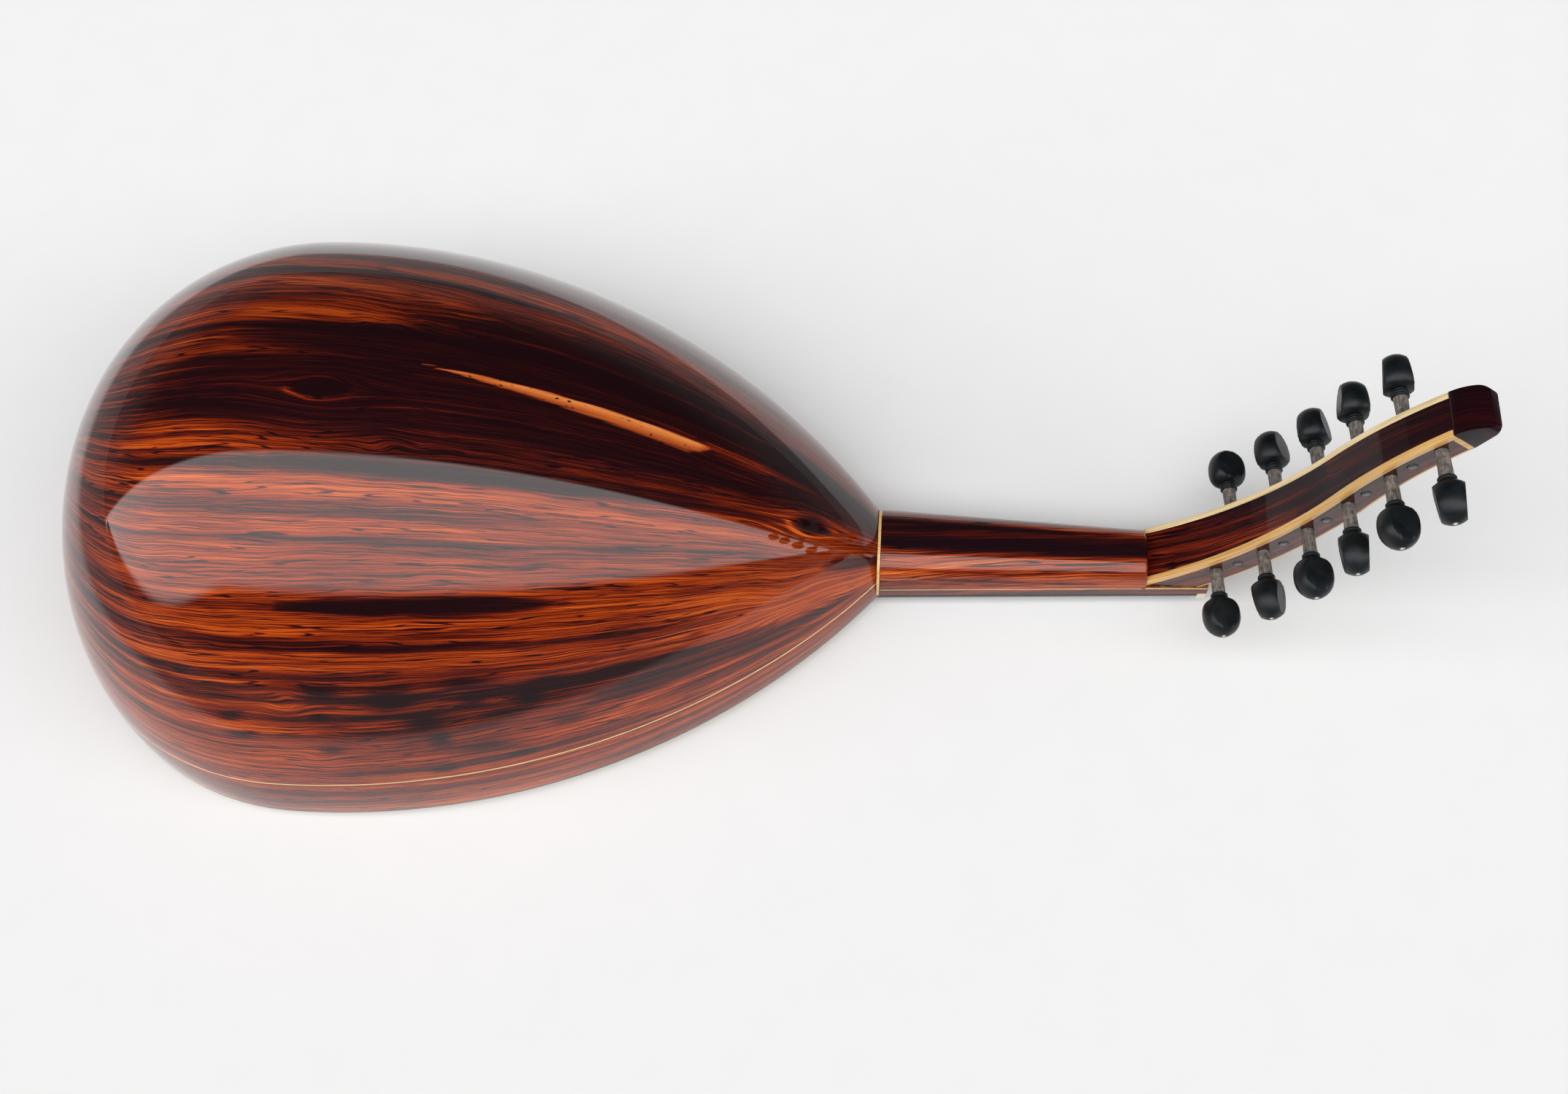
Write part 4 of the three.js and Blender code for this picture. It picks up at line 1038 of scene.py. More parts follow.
# Streaks of the neck: start and end along it, degrees round it at each, half width in degrees, darkness.
NECK_STREAKS = (
    (-0.02, 0.24, 90.0, 92.0, 19.0, 0.26),
    (-0.02, 0.21, 81.0, 82.0, 9.0, 0.22),
    (-0.02, 0.12, 112.0, 108.0, 4.0, 0.20),
    (0.02, 0.20, 120.0, 112.0, 1.6, -0.20),
    (0.00, 0.20, 132.0, 126.0, 2.5, -0.16),
    (-0.02, 0.08, 50.0, 45.0, 1.6, 0.22),
    (0.02, 0.13, 37.0, 30.0, 1.8, 0.30),
    (0.06, 0.20, 26.0, 20.0, 1.6, 0.28),
    (-0.02, 0.06, 34.0, 27.0, 1.0, 0.24),
    (-0.02, 0.22, 45.0, 42.0, 22.0, -0.22),
    (-0.02, 0.22, 20.0, 22.0, 6.0, -0.14),
    (-0.02, 0.22, 166.0, 166.0, 14.0, -0.12),
    (-0.02, 0.07, 152.0, 136.0, 4.0, 0.34),
    (0.05, 0.19, 124.0, 112.0, 1.0, -0.24),
    (-0.02, 0.22, 5.0, 6.0, 3.0, 0.06),
)


def neck_figure(piece):
    """Figure by place along the neck and angle round it, where 0 is the right edge."""
    x, y, z = vertices(piece).T
    angle = np.arctan2(np.maximum(z - NECK_FACE, 0.0), -y)
    across = angle * NECK_GRAIN_RADIUS - NECK_GRAIN_SLANT * x
    tone = NECK_TONE + streaks_at(x, np.degrees(angle), NECK_STREAKS)
    add_figure(piece, x, across, tone, seed=NECK_SEED)


def pale_lines(name, stations, corners_at):
    """A thin line along each side of the neck, from its (place across, height) corners at each station."""
    for side, flip in SIDES:
        rings = []
        for x in stations:
            ring = [(x, flip * reach, height) for reach, height in corners_at(x, flip)]
            rings.append(np.array(ring) + ORIGIN)
        finish_piece(loft(f"{name}_{side}", rings), maple, "pale_wood")


def side_line_corners(x, flip):
    """The line let into the neck's side, which follows its curve."""
    fullness = neck_fullness(x, flip)
    corners = []
    for rise in (SIDE_LINE_RISE, SIDE_LINE_RISE + SIDE_LINE_HEIGHT):
        reach = neck_half(x) * (1 - (rise / neck_depth(x)) ** fullness) ** (1 / fullness)
        corners.append((reach, NECK_FACE + rise))
    proud = [(reach + LINE_PROUD, height) for reach, height in corners]
    deep = [(reach - LINE_DEPTH, height) for reach, height in reversed(corners)]
    return proud + deep


def seat_line_corners(x, _):
    """The line between the neck's side and the pegbox wall that stands on it."""
    half = neck_half(x)
    wall = min(half, BOX_ROOT_HALF_WIDTH)
    low = seat_z(x) - SEAT_LINE_HEIGHT
    high = low + SEAT_LINE_HEIGHT
    return (
        (half + LINE_PROUD, low), (half + LINE_PROUD, high), (wall - SEAT_LINE_UNDER_WALL, high),
        (half - LINE_DEPTH, low),
    )


def build_neck():
    start = RING_THICKNESS + GLUE_GAP
    turn = np.linspace(0.0, math.pi / 2, NECK_END_STATIONS)
    stations = np.concatenate([
        np.linspace(start, BOX_SEAT_START - NECK_TAPER_END, NECK_STATIONS),
        BOX_SEAT_START - NECK_END_ROUNDING * np.cos(turn), [NECK_LENGTH],
    ])
    neck = smooth(boolean(loft("neck_shaft", [neck_ring(x) for x in stations]), [above_seat()]))
    neck_figure(neck)
    finish_piece(neck, neck_wood, "neck_wood", replaced=["neck"])
    rings = [neck_ring(0.0) + (x, 0, 0) for x in np.linspace(0.0, RING_THICKNESS, 3)]
    finish_piece(loft("joint_ring_band", rings), maple, "pale_wood", replaced=["joint_ring"])
    stations = np.linspace(start, BOX_SEAT_START - SIDE_LINE_END, SIDE_LINE_STATIONS)
    pale_lines("neck_side_line", stations, side_line_corners)
    stations = np.linspace(BOX_SEAT_START + GLUE_GAP, NECK_LENGTH, SEAT_LINE_STATIONS)
    pale_lines("neck_seat_line", stations, seat_line_corners)


build_neck()


# Pegbox

BOX_STATIONS = 90
BOX_TABLE_STEPS = 700
BOX_TABLE_OVERRUNS = (0.01, 0.03)
FRONT_STRIP = 0.0011
CROSS_BAND = 0.0030
STRIP_BEVEL = 0.0004
BOX_GRAIN_SLANT = 0.05
MILLIMETRES = 1000.0
BACK_TONE = 0.46
WALL_TONE = 0.50
HEAD_TONE = 0.84
# Seeds of each kind of piece. The right one's is one less, and the left one's is one more.
BACK_SEED = 9.3
WALL_SEED = 13.0
HEAD_SEED = 21.0
EDGE_SEED = 1.0
FRONT_SEED = 5.0
BAND_SEED = 9.0


def box_at(distance, rise=0.0):
    """A point of the pegbox at a distance along its centre line and a rise towards the back."""
    distance = np.asarray(distance, float)
    first_length = BOX_FIRST_RADIUS * BOX_FIRST_TURN
    middle = BOX_START_HEADING + np.minimum(distance, first_length) / BOX_FIRST_RADIUS
    heading = middle - np.maximum(distance - first_length, 0.0) / BOX_SECOND_RADIUS
    first_x = BOX_FIRST_RADIUS * (np.sin(middle) - math.sin(BOX_START_HEADING))
    first_z = BOX_FIRST_RADIUS * (math.cos(BOX_START_HEADING) - np.cos(middle))
    second_x = BOX_SECOND_RADIUS * (np.sin(middle) - np.sin(heading))
    second_z = BOX_SECOND_RADIUS * (np.cos(heading) - np.cos(middle))
    return (
        BOX_START[0] + first_x + second_x - rise * np.sin(heading),
        BOX_START[1] + first_z + second_z + rise * np.cos(heading),
        heading,
    )


def box_half_depth(distance):
    return blend(BOX_DEPTH_AT_NUT, BOX_DEPTH_AT_HEAD, distance / BOX_LENGTH) / 2


def box_half_width(distance):
    return blend(BOX_HALF_WIDTH_AT_NUT, BOX_HALF_WIDTH_AT_HEAD, distance / BOX_LENGTH)


def inner_half(distance):
    return box_half_width(distance) - BOX_WALL


def front_face(distance):
    return -box_half_depth(distance)


def over_front(distance):
    return FRONT_STRIP - box_half_depth(distance)


def under_back(distance):
    return box_half_depth(distance) - BOX_BACK_THICKNESS


def wall_top(distance):
    return under_back(distance) - HAIR_GAP


def box_strip(name, rises, places, start=-BOX_ROOT_BLOCK, end=BOX_LENGTH - GLUE_GAP, rounding=0.0):
    """A bar along the pegbox between two rises and two places across, each a function of the distance."""
    rings = []
    low, high = rises
    near, far = places
    for distance in np.linspace(start, end, BOX_STATIONS):
        ring = []
        for rise, place in ((low, near), (low, far), (high, far), (high, near)):
            x, z, _ = box_at(distance, rise(distance))
            ring.append((float(x), place(distance), float(z)))
        rings.append(np.array(ring) + ORIGIN)
    piece = loft(name, rings)
    if rounding:
        bevel(piece, rounding, 3, 50)
    return piece


def box_place(points):
    """Distance along the pegbox and rise from its centre line at points in the instrument's frame."""
    before, after = BOX_TABLE_OVERRUNS
    table = np.linspace(-BOX_ROOT_BLOCK - before, BOX_LENGTH + after, BOX_TABLE_STEPS)
    x, z, heading = box_at(table)
    nearest = np.argmin((points[:, :1] - x) ** 2 + (points[:, 2:] - z) ** 2, axis=1)
    heading = heading[nearest]
    rise = (points[:, 2] - z[nearest]) * np.cos(heading) - (points[:, 0] - x[nearest]) * np.sin(heading)
    return table[nearest], rise


# Streaks of the pegbox's back: start and end along it, places across in millimetres at each, half width.
BACK_STREAKS = (
    (-0.04, 0.13, 8.0, 8.5, 5.5, 0.36),
    (0.02, 0.24, 5.0, 0.0, 7.5, 0.28),
    (0.09, 0.28, -2.0, -2.0, 12.0, 0.34),
    (-0.04, 0.10, -8.0, -8.0, 4.5, -0.12),
    (0.00, 0.06, -3.5, -2.0, 0.8, 0.24),
    (0.01, 0.09, -8.0, -6.0, 0.9, 0.26),
)
WALL_STREAKS = (
    (-0.04, 0.22, 3.5, 2.5, 3.0, 0.16),
    (0.02, 0.12, -3.0, -2.0, 1.6, 0.18),
    (0.10, 0.22, -4.0, -4.0, 2.5, 0.12),
)


def box_figure(piece, streaks, base, seed, by_rise=False):
    """Figure by place along the pegbox and across it, or up its wall."""
    place = vertices(piece)
    along, rise = box_place(place)
    across = rise if by_rise else place[:, 1]
    tone = base + streaks_at(along, across * MILLIMETRES, streaks)
    add_figure(piece, along, across + BOX_GRAIN_SLANT * along, tone, seed=seed)


def box_grain(piece, seed):
    """Grain along the pegbox for its pale strips."""
    place = vertices(piece)
    along, rise = box_place(place)
    add_grain(piece, along, place[:, 1] + rise, seed)


PEG_SIDES = 40
BORE_SIDES = 32
BORE_CLEARANCE = 0.0003
BORE_OVERRUN = 0.003


def peg_list():
    """Name, side, place along the pegbox and turn of the head, in degrees, of each peg."""
    pegs = []
    for index, turn in enumerate(RIGHT_HEAD_TURNS):
        pegs.append((f"peg_right_{index + 1}", -1, FIRST_PEG_AT + PEG_PITCH * index, turn))
    for index, turn in enumerate(LEFT_HEAD_TURNS):
        at = FIRST_PEG_AT + PEG_PITCH * (index + LEFT_PEG_OFFSET_SHARE)
        pegs.append((f"peg_left_{index + 1}", 1, at, turn))
    return pegs


PEGS = peg_list()


def peg_axes(side, at, turn):
    """The peg's middle, and its across, axis and normal directions, with the head at the axis' end."""
    x, z, heading = box_at(at)
    along = np.array([math.cos(heading), 0.0, math.sin(heading)])
    axis = side * (np.array([0.0, math.cos(PEG_TILT), 0.0]) - along * math.sin(PEG_TILT))
    facing = np.array([-math.sin(math.radians(turn)), 0.0, math.cos(math.radians(turn))])
    across = np.cross(axis, facing)
    across /= np.linalg.norm(across)
    return np.array([float(x), 0.0, float(z)]) + ORIGIN, across, axis, np.cross(across, axis)


def shank_radius(from_collar):
    return SHANK_RADIUS - SHANK_TAPER_SHARE * from_collar


def turned(name, axes, profile, sides=PEG_SIDES, flats=None, smooth_angle=32.0):
    """A turned form about the peg's axis, of (place, radius) rings, pared to half thicknesses if given."""
    centre, across, axis, normal = axes
    angle = (np.arange(sides) + 0.5) * 2 * math.pi / sides
    rings = []
    for index, (place, radius) in enumerate(profile):
        deep = radius * np.sin(angle)
        if flats is not None:
            deep = np.clip(deep, -flats[index], flats[index])
        wide = np.multiply.outer(radius * np.cos(angle), across)
        rings.append(centre + wide + place * axis + np.multiply.outer(deep, normal))
    return loft(name, rings, smooth_angle)


def bore_cutter(peg):
    name, side, at, turn = peg
    face = box_half_width(at)
    collar = face + SHANK_OUTSIDE
    far = face + BORE_OVERRUN
    profile = [(place, shank_radius(collar - place) + BORE_CLEARANCE) for place in (-far, far)]
    return turned(f"bore_{name}", peg_axes(side, at, turn), profile, BORE_SIDES)


def across_box(half, side, gap=0.0):
    """Places on one side of the pegbox, at a half width less a gap."""
    return lambda distance: side * (half(distance) - gap)


def build_back():
    """The back plate, with the block that fills the pegbox at its root."""
    places = [across_box(inner_half, side, HAIR_GAP) for side in (-1, 1)]
    plate = box_strip("pegbox_back_plate", (under_back, box_half_depth), places)
    places = [across_box(inner_half, side, GLUE_GAP) for side in (-1, 1)]
    end = FIRST_PEG_AT - PEG_HEAD_RADIUS
    boolean(plate, [box_strip("wedge", (front_face, box_half_depth), places, end=end)], "UNION")
    box_figure(smooth(boolean(plate, [neck_zone()])), BACK_STREAKS, BACK_TONE, BACK_SEED)
    finish_piece(plate, box_wood, "dark_wood", replaced=["pegbox_back"])


def build_walls():
    """On each side a wall with its bores, and pale strips along its back, its front and its end."""
    band_start = BOX_LENGTH - CROSS_BAND
    for name, side in SIDES:
        places = (across_box(inner_half, side), across_box(box_half_width, side))
        wall = box_strip(f"pegbox_side_{name}", (over_front, wall_top), places, end=band_start)
        boolean(wall, [neck_zone(), *map(bore_cutter, PEGS)])
        box_figure(smooth(wall), WALL_STREAKS, WALL_TONE, WALL_SEED + side, by_rise=True)
        finish_piece(wall, neck_wood, "neck_wood", replaced=[f"pegbox_wall_{name}"])
        rises = (under_back, box_half_depth)
        edge = box_strip(f"pegbox_back_strip_{name}", rises, places, rounding=STRIP_BEVEL)
        box_grain(smooth(boolean(edge, [neck_zone()])), EDGE_SEED + side)
        strip_wood = golden_maple if side < 0 else cream_maple
        finish_piece(edge, strip_wood, "pale_wood", replaced=[f"pegbox_edge_{name}"])
        front = box_strip(f"pegbox_front_strip_{name}", (front_face, over_front), places)
        box_grain(smooth(boolean(front, [neck_zone()])), FRONT_SEED + side)
        finish_piece(front, golden_maple, "pale_wood")
        end = BOX_LENGTH - GLUE_GAP / 3
        band = box_strip(f"pegbox_end_band_{name}", (over_front, wall_top), places, band_start, end)
        box_grain(band, BAND_SEED + side)
        finish_piece(band, golden_maple, "pale_wood")


HEAD_CURL_STEPS = 28
HEAD_CORNER_STEPS = 14
HEAD_BEVEL = 0.0012
HEAD_MASK_REACH = 0.04
HEAD_MASK_OVERLAP = 0.002


def head_outline(along, rise):
    x, z, heading = box_at(BOX_LENGTH)
    return (
        float(x + along * math.cos(heading) - rise * math.sin(heading)),
        float(z + along * math.sin(heading) + rise * math.cos(heading)),
    )


def build_head_block():
    """The end of the pegbox: its back curls over to the front, and its corners are round."""
    half_depth = box_half_depth(BOX_LENGTH)
    outline = [head_outline(0.0, -half_depth)]
    for angle in np.linspace(math.pi / 2, 0.0, HEAD_CURL_STEPS):
        rise = (half_depth + HEAD_TIP_DROP) * math.cos(angle) - HEAD_TIP_DROP
        outline.append(head_outline(HEAD_LENGTH * math.sin(angle), rise))
    body = prism("head_cap", outline, BOX_HALF_WIDTH_AT_HEAD)
    corner = HEAD_LENGTH - HEAD_CORNER_RADIUS
    reach = BOX_HALF_WIDTH_AT_HEAD - HEAD_CORNER_RADIUS
    plan = [(-HEAD_MASK_OVERLAP, -BOX_HALF_WIDTH_AT_HEAD)]
    for side in (-1, 1):
        for angle in np.linspace(0.0, math.pi / 2, HEAD_CORNER_STEPS):
            turn = angle if side < 0 else math.pi / 2 - angle
            across = side * (reach + HEAD_CORNER_RADIUS * math.cos(turn))
            plan.append((corner + HEAD_CORNER_RADIUS * math.sin(turn), across))
    plan.append((-HEAD_MASK_OVERLAP, BOX_HALF_WIDTH_AT_HEAD))
    rings = []
    for rise in (-HEAD_MASK_REACH, HEAD_MASK_REACH):
        ring = [(*head_outline(along, rise), y) for along, y in plan]
        rings.append(np.array(ring)[:, [0, 2, 1]] + ORIGIN)
    boolean(body, [loft("head_mask", rings)], "INTERSECT")
    bevel(body, HEAD_BEVEL, 4, 40)
    box_figure(smooth(body, 40.0), (), HEAD_TONE, HEAD_SEED)
    finish_piece(body, box_wood, "dark_wood", replaced=["head_block"])


build_back()
build_walls()
build_head_block()


# Pegs. A profile is (place, radius) rings, as shares of a length and a radius or in metres.

HEAD_PROFILE = (
    (0.0, 0.42), (0.02, 0.57), (0.055, 0.72), (0.10, 0.83), (0.17, 0.92), (0.26, 0.975), (0.36, 0.998),
    (0.45, 1.0), (0.54, 0.985), (0.63, 0.945), (0.72, 0.875), (0.81, 0.755), (0.88, 0.61), (0.94, 0.43),
    (0.98, 0.26), (1.0, 0.17),
)
COLLAR_PROFILE = (
    (0.0, 0.84), (0.06, 0.96), (0.14, 1.0), (0.26, 1.0), (0.34, 0.93), (0.40, 0.90), (0.46, 0.95),
    (0.54, 1.0), (0.64, 1.0), (0.72, 0.92), (0.80, 0.84), (0.92, 0.83), (1.0, 0.86),
)
BUTTON_PROFILE = ((1.0, 1.0), (0.35, 1.0), (0.12, 0.93), (0.0, 0.80))
TIP_RING = ((-0.0016, 0.0017), (-0.0002, 0.0017), (0.0, 0.0015), (0.0, 0.0011))
TIP_DOT = ((-0.0010, 0.0010), (-0.0001, 0.0010), (0.0001, 0.0006))
SHANK_COLLAR_FIT = (-0.0006, 0.0002)
HEAD_SIDES = 72
BUTTON_SIDES = 36
TIP_RING_SIDES = 28
TIP_DOT_SIDES = 24


def placed(profile, start, length=1.0, radius=1.0):
    return [(start + place * length, size * radius) for place, size in profile]


def build_peg(peg):
    name, side, at, turn = peg
    axes = peg_axes(side, at, turn)
    face = box_half_width(at)
    collar = face + SHANK_OUTSIDE
    head = collar + COLLAR_LENGTH
    tip = head + PEG_HEAD_LENGTH
    end = -face - PEG_END_PROUD
    far_end = shank_radius(collar - end)
    shank = [(end + PEG_BUTTON, far_end), (0.0, shank_radius(collar))]
    shank += [(collar + fit, SHANK_RADIUS) for fit in SHANK_COLLAR_FIT]
    finish_piece(turned(f"{name}_shank", axes, shank), shank_wood, "black_wood", name, [name])
    profile = placed(BUTTON_PROFILE, end, PEG_BUTTON, far_end)
    button = turned(f"{name}_end_button", axes, profile, BUTTON_SIDES, smooth_angle=50.0)
    finish_piece(button, button_wood, "black_wood", name)
    profile = placed(COLLAR_PROFILE, collar, COLLAR_LENGTH, COLLAR_RADIUS)
    flats = [radius for _, radius in profile]
    profile += placed(HEAD_PROFILE, head, PEG_HEAD_LENGTH, PEG_HEAD_RADIUS)
    flats += [PEG_HEAD_HALF_THICKNESS * blend(1.0, PEG_TIP_FLAT_SHARE, share) for share, _ in HEAD_PROFILE]
    knob = turned(f"{name}_head", axes, profile, HEAD_SIDES, flats)
    finish_piece(knob, black_wood, "black_wood", name)
    ring = turned(f"{name}_tip_ring", axes, placed(TIP_RING, tip), TIP_RING_SIDES)
    finish_piece(ring, silver, "bone", name)
    dot = turned(f"{name}_tip_dot", axes, placed(TIP_DOT, tip), TIP_DOT_SIDES)
    finish_piece(dot, pearl, "bone", name)


for peg in PEGS:
    build_peg(peg)


# Front side

MAIN_HOLE = (-0.158, 0.0)
MAIN_HOLE_RADIUS = 0.046
SIDE_HOLES = {"left": (-0.246, 0.078), "right": (-0.246, -0.078)}
SIDE_HOLE_RADIUS = 0.019
HOLE_SIDES = 120
HOLE_CUTTER_REACH = 0.01
ROSETTE_SEAT = 0.0035
ROSETTE_THICKNESS = 0.0024
ROSETTE_RING_HEIGHTS = (0.0002, ROSETTE_THICKNESS - 0.0001)
ROSETTE_RING_SIDES = 72
BAR_INSET = 0.0003
BAR_WEAVE = 0.0001
BINDING_WIDTH = 0.0030
BINDING_LINE = 0.0008
INLAY_PROUD = 0.00005
INLAY_DEPTH = 0.0005
# Parts of a hole's inlay: name, distances from the hole's edge, material and slot.
HOLE_INLAY = (
    ("inner_line", 0.0012, 0.0019, maple, "pale_wood"),
    ("band", 0.0019, 0.0046, dark_wood, "dark_wood"),
    ("outer_line", 0.0046, 0.0053, maple, "pale_wood"),
)
# Rosettes. Stars are (points, step, reach, turn) and rings (inner, outer radius), as shares of the hole's.
MAIN_STARS = ((12, 5, 1.0, 0.0), (12, 4, 0.86, 0.5), (12, 3, 0.52, 0.0))
MAIN_RINGS = ((0.955, 1 + ROSETTE_SEAT / MAIN_HOLE_RADIUS), (0.50, 0.535), (0.20, 0.245))
SIDE_STARS = ((8, 3, 1.0, 0.0), (8, 2, 0.70, 0.5))
SIDE_RINGS = ((0.93, 1 + ROSETTE_SEAT / SIDE_HOLE_RADIUS), (0.28, 0.36))
MAIN_BAR_WIDTH = 0.0016
SIDE_BAR_WIDTH = 0.0012
OUTLINE_STEPS = 170
# Nodes whose edges are broken: node, name, material, slot and width of the edge.
ROUNDED_PARTS = (
    ("bridge", "bridge_rounded", dark_wood, "dark_wood", 0.0005),
    ("nut", "nut_rounded", bone, "bone", 0.0002),
    ("pickguard", "pickguard_veneer", guard_wood, "dark_wood", 0.0001),
    ("fingerboard", "fingerboard_veneer", board_wood, "black_wood", 0.0002),
)
STRING_SMOOTHING = 75.0
STRING_COUNT = 11
WOUND_STRINGS = 5
BRACE_COUNT = 5


def rim_outline(inset):
    """The rim drawn in by a width, from the right end of the joint round the tail to the left end."""
    x, half, heading = rim_at(np.linspace(RIM_LENGTH, 0.0, OUTLINE_STEPS))
    right = np.stack([x + inset * np.sin(heading), inset * np.cos(heading) - half], -1)
    left = right[-2::-1] * (1, -1)
    return np.concatenate([right, left])


def upright(flat, z):
    return np.concatenate([flat, np.full((len(flat), 1), z)], 1) + ORIGIN


def rim_strip(name, outer_inset, inner_inset, material, slot):
    """A strip that follows the rim, as thick as the soundboard."""
    outer = rim_outline(outer_inset)
    inner = rim_outline(inner_inset)
    low = -SOUNDBOARD_THICKNESS
    rings = np.stack([upright(outer, 0.0), upright(outer, low), upright(inner, low), upright(inner, 0.0)], 1)
    finish_piece(loft(name, rings), material, slot)


def ring_faces(sides, start=0):
    """Faces of a closed ring of square sections."""
    faces = []
    for side in range(sides):
        faces += between_rings(start + 4 * side, start + 4 * ((side + 1) % sides), 4)
    return faces


def square_ring(centre, low_radius, high_radius, low, high, sides):
    """Points of a ring with a square section."""
    flat = circle(centre, [low_radius, high_radius, high_radius, low_radius], sides)
    height = np.broadcast_to([low, low, high, high], flat.shape[:2])
    return (np.concatenate([flat, height[..., None]], -1) + ORIGIN).reshape(-1, 3)


def hole_inlay(name, centre, radius):
    """Two pale lines and a dark band round a hole, let into the soundboard's face."""
    low = -SOUNDBOARD_THICKNESS - INLAY_PROUD
    high = INLAY_DEPTH - SOUNDBOARD_THICKNESS
    for part, first, last, material, slot in HOLE_INLAY:
        points = square_ring(centre, radius + first, radius + last, low, high, HOLE_SIDES)
        finish_piece(make_object(f"{name}_{part}", points, ring_faces(HOLE_SIDES)), material, slot)


def bar(start, end, width, lift):
    """The corners of a straight bar between two places, as thick as the rosette less a lift on each face."""
    along = (end - start) / np.linalg.norm(end - start)
    side = np.array([-along[1], along[0]]) * width / 2
    outline = np.array([start - side, start + side, end + side, end - side])
    return np.concatenate([upright(outline, lift), upright(outline, ROSETTE_THICKNESS - lift)])


def fretwork(name, centre, radius, stars, rings, width, node):
    """Woven star polygons between rings."""
    points = np.empty((0, 3))
    faces = []
    for low, high in rings:
        faces += ring_faces(ROSETTE_RING_SIDES, len(points))
        ring = square_ring(centre, low * radius, high * radius, *ROSETTE_RING_HEIGHTS, ROSETTE_RING_SIDES)
        points = np.concatenate([points, ring])
    for count, step, share, turn in stars:
        for index in range(count):
            ends = []
            for corner in (index, index + step):
                angle = 2 * math.pi * (corner + turn) / count
                ends.append(share * radius * np.array([math.cos(angle), math.sin(angle)]) + centre)
            start = len(points)
            points = np.concatenate([points, bar(*ends, width, BAR_INSET + BAR_WEAVE * (index % 3))])
            faces += [list(range(start, start + 4)), list(range(start + 4, start + 8))]
            faces += between_rings(start, start + 4, 4)
    finish_piece(make_object(name, points, faces), rosette_wood, "rosette_wood", replaced=[node])


def hole_cutter(centre, radius):
    flat = circle(centre, radius, HOLE_SIDES)
    return loft("hole_cutter", [upright(flat, -HOLE_CUTTER_REACH), upright(flat, HOLE_CUTTER_REACH)])


def build_soundboard():
    edge = BINDING_WIDTH + BINDING_LINE
    outline = rim_outline(edge)
    board = loft("soundboard_plate", [upright(outline, -SOUNDBOARD_THICKNESS), upright(outline, 0.0)])
    holes = {"main_hole": (MAIN_HOLE, MAIN_HOLE_RADIUS)}
    holes.update({f"side_hole_{side}": (centre, SIDE_HOLE_RADIUS) for side, centre in SIDE_HOLES.items()})
    boolean(board, [hole_cutter(*hole) for hole in holes.values()])
    finish_piece(smooth(board), board_spruce, "soundboard_wood", replaced=["soundboard"])
    rim_strip("soundboard_binding", 0.0, BINDING_WIDTH, dark_wood, "dark_wood")
    rim_strip("soundboard_purfling", BINDING_WIDTH, edge, maple, "pale_wood")
    for name, hole in holes.items():
        hole_inlay(name, *hole)


def build_rosettes():
    fretwork(
        "main_rosette_fretwork", MAIN_HOLE, MAIN_HOLE_RADIUS, MAIN_STARS, MAIN_RINGS, MAIN_BAR_WIDTH,
        "main_rosette",
    )
    for side, centre in SIDE_HOLES.items():
        fretwork(
            f"side_rosette_fretwork_{side}", centre, SIDE_HOLE_RADIUS, SIDE_STARS, SIDE_RINGS,
            SIDE_BAR_WIDTH, f"side_rosette_{side}",
        )


def refined(node, name, material, slot, edge_width=0.0, smooth_angle=35.0):
    """A node's own shape with its edges broken, or its facets shaded round."""
    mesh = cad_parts[node].data.copy()
    build = bmesh.new()
    build.from_mesh(mesh)
    bmesh.ops.remove_doubles(build, verts=build.verts, dist=1e-6)
    if edge_width:
        bmesh.ops.dissolve_limit(build, angle_limit=math.radians(1), verts=build.verts, edges=build.edges)
    build.to_mesh(mesh)
    build.free()
    piece = link(name, mesh)
    if edge_width:
        bevel(piece, edge_width, 3, 40)
    finish_piece(smooth(piece, smooth_angle), material, slot, replaced=[node])


def build_front():
    build_soundboard()
    build_rosettes()
    for part in ROUNDED_PARTS:
        refined(*part)
    for number in range(1, STRING_COUNT + 1):
        wound = number <= WOUND_STRINGS
        material, slot = (wound_wire, "wound_string") if wound else (nylon, "plain_string")
        refined(f"string_{number}", f"string_{number}_line", material, slot, smooth_angle=STRING_SMOOTHING)


build_front()


# Materials of the inner pieces, which keep their own shapes

KEPT = {"neck_block": raw_wood, "tail_block": raw_wood}
KEPT.update({f"brace_{index}": spruce for index in range(1, BRACE_COUNT + 1)})
for name, material in KEPT.items():
    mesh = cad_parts[name].data
    mesh.materials.clear()
    mesh.materials.append(material)


# Camera, floor and light

def build_camera():
    camera = bpy.data.cameras.new("camera")
    camera.sensor_fit = "HORIZONTAL"
    camera.sensor_width = SENSOR_WIDTH
    camera.lens = SENSOR_WIDTH * CAMERA_FOCAL_PIXELS / PHOTO_WIDTH
    camera.clip_start, camera.clip_end = CAMERA_CLIP
    tilt = (
        Matrix.Rotation(CAMERA_PITCH, 3, "X")
        @ Matrix.Rotation(CAMERA_YAW, 3, "Y")
        @ Matrix.Rotation(CAMERA_ROLL, 3, "Z")
    )
    place = Vector(ORIGIN) + Vector(CAMERA_PLACE)
    holder = link("camera", camera)
    holder.matrix_world = Matrix.Translation(place) @ tilt.to_4x4()
    bpy.context.scene.camera = holder


FLOOR_RADIUS = 9.0
FLOOR_SIDES = 96
# The pale field is a painted pool of light on the floor, and the grey beyond it is painted shade.
FLOOR_WHITE = 0.80
FLOOR_FAR = 0.28
FLOOR_FIELD_CENTRE = (-0.01, 0.075)
FLOOR_FIELD_HALF = (0.61, 0.405)
FLOOR_FIELD_FADE = 1.22
FLOOR_FIELD_SQUARENESS = 12


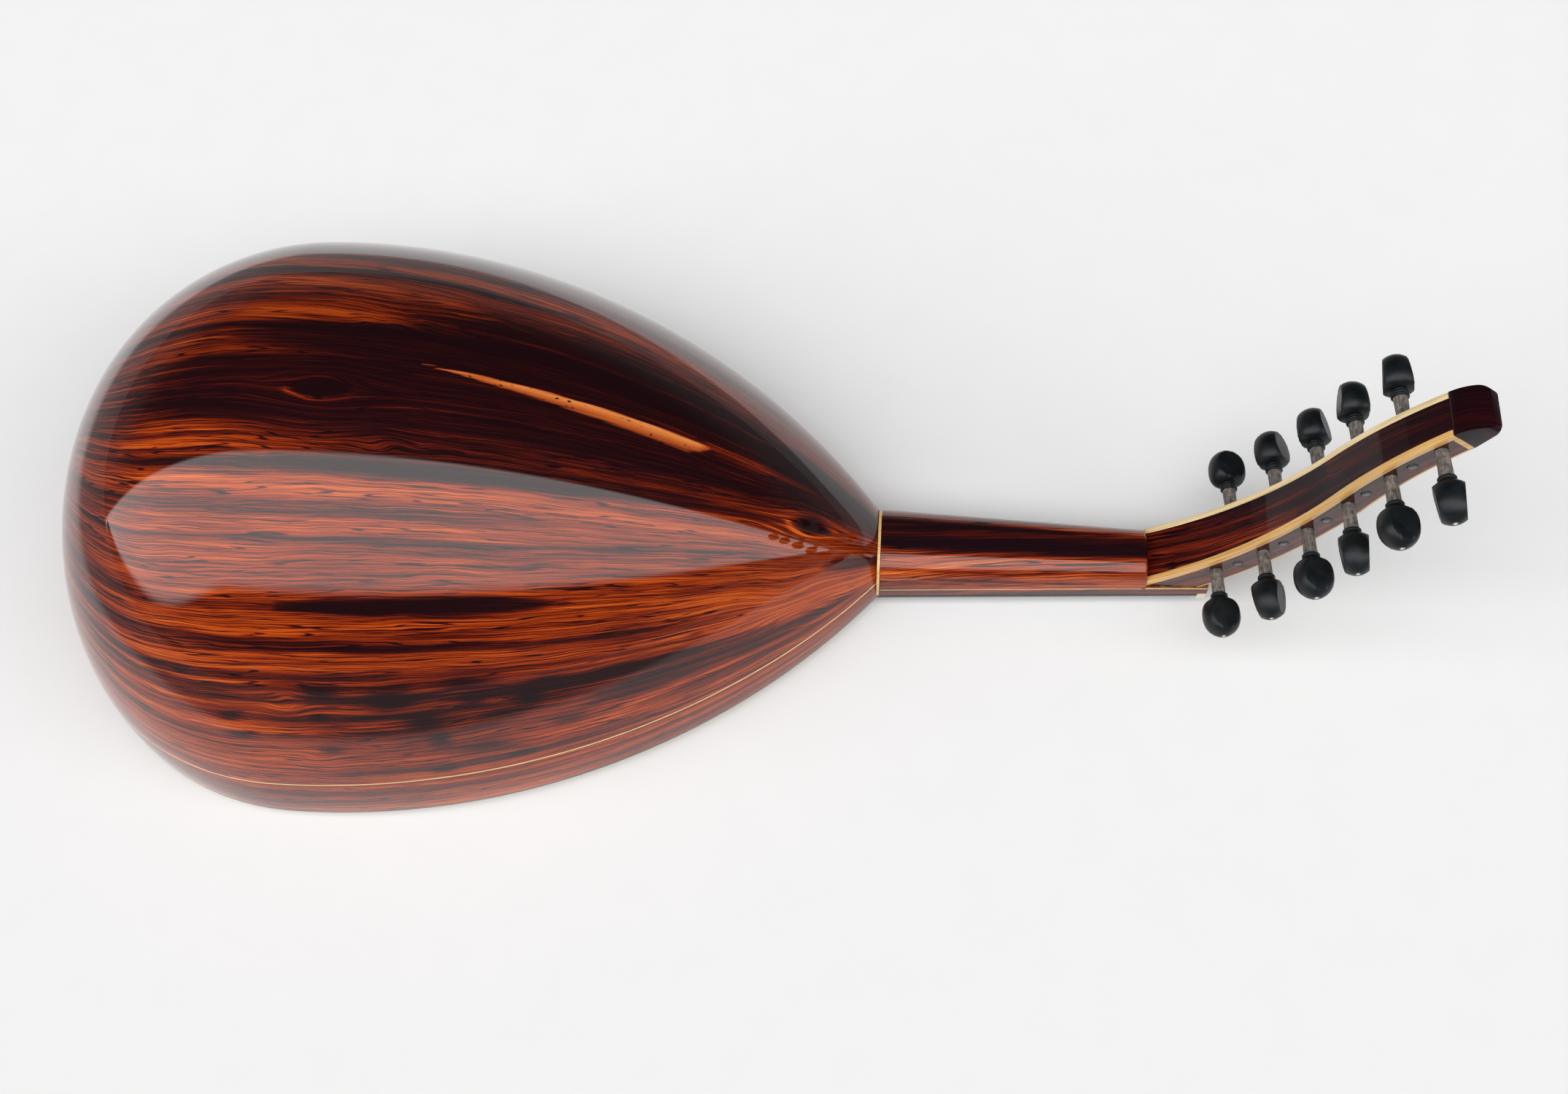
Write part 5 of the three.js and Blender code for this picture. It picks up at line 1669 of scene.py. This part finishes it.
def build_floor():
    """Paper with a painted pool of light: pale over a field with round corners, and painted grey beyond it,
    as painted shade where the light would fall off.
    """
    ring = np.column_stack([circle((0.0, 0.0), FLOOR_RADIUS, FLOOR_SIDES), np.full(FLOOR_SIDES, FLOOR)])
    floor = make_object("floor", ring, [list(range(FLOOR_SIDES))])
    shader = Shader("floor_paper")
    place = shader.place()
    x, y, _ = shader.parts(place)
    powers = []
    for value, centre, half in zip((x, y), FLOOR_FIELD_CENTRE, FLOOR_FIELD_HALF):
        share = shader.math("DIVIDE", shader.math("SUBTRACT", value, centre), half)
        powers.append(shader.math("POWER", shader.math("ABSOLUTE", share), FLOOR_FIELD_SQUARENESS))
    reach = shader.math("POWER", shader.math("ADD", *powers), 1 / FLOOR_FIELD_SQUARENESS)
    # Painted pool of light: pale inside the field, fading to the painted grey beyond it.
    white = shader.spread(reach, 1.0, FLOOR_FIELD_FADE, FLOOR_WHITE, FLOOR_FAR)
    cloud = shader.noise(place, scale=30.0, detail=4.0)
    white = shader.math("MULTIPLY", white, shader.spread(cloud, 0.3, 0.7, 0.995, 1.005))
    floor.data.materials.append(shader.finish(
        Base_Color=shader.vector(white, white, white), Roughness=0.85, Specular_IOR_Level=0.0,
    ))


SKY_RADIANCE = 2.75
SKY_EDGE = 0.012
# How steep a direction is where the sky begins, away from the tail and at it, and where that changes.
SKY_LOW = 0.34
SKY_LOW_AT_TAIL = 0.03
SKY_LOW_TURNS = (-0.92, -0.42)
SKY_LOW_SOFTNESS = 0.10
CEILING_RADIANCE = 0.035
HORIZON_RADIANCE = 0.16
HORIZON_HEIGHTS = (0.05, 0.35)
BACKDROP = 0.30
# Just over 1, so that what is left of it after a square is never zero.
WHOLE = 1.0001


def build_world():
    """A broad soft light over the right side, a dim ceiling over the left, and a paler horizon all round."""
    world = bpy.data.worlds.new("studio")
    bpy.context.scene.world = world
    world.use_nodes = True
    nodes = Nodes(world.node_tree)
    x, y, z = nodes.parts(nodes.node("ShaderNodeTexCoord").outputs["Generated"])
    side = nodes.spread(y, -SKY_EDGE, SKY_EDGE, 1.0, 0.0)
    left_over = nodes.math("SUBTRACT", WHOLE, nodes.math("MULTIPLY", x, x))
    steep = nodes.math("DIVIDE", nodes.math("MULTIPLY", z, z), left_over)
    edge = nodes.spread(x, *SKY_LOW_TURNS, SKY_LOW_AT_TAIL, SKY_LOW)
    over = nodes.math("DIVIDE", nodes.math("SUBTRACT", steep, edge), SKY_LOW_SOFTNESS)
    sky = nodes.math("MULTIPLY", side, nodes.spread(over, 0.0, 1.0))
    sky = nodes.math("MULTIPLY", sky, SKY_RADIANCE)
    horizon = nodes.spread(z, *HORIZON_HEIGHTS, HORIZON_RADIANCE, CEILING_RADIANCE)
    seen = nodes.node("ShaderNodeLightPath").outputs["Is Camera Ray"]
    lit = nodes.math("MULTIPLY", nodes.math("MAXIMUM", sky, horizon), nodes.math("SUBTRACT", 1.0, seen))
    background = nodes.tree.nodes["Background"]
    strength = nodes.math("ADD", lit, nodes.math("MULTIPLY", seen, BACKDROP))
    nodes.feed(background.inputs["Strength"], strength)
    nodes.feed(background.inputs["Color"], (1.0, 1.0, 1.0, 1.0))


build_camera()
build_floor()
build_world()

bpy.context.scene.view_settings.view_transform = "Standard"
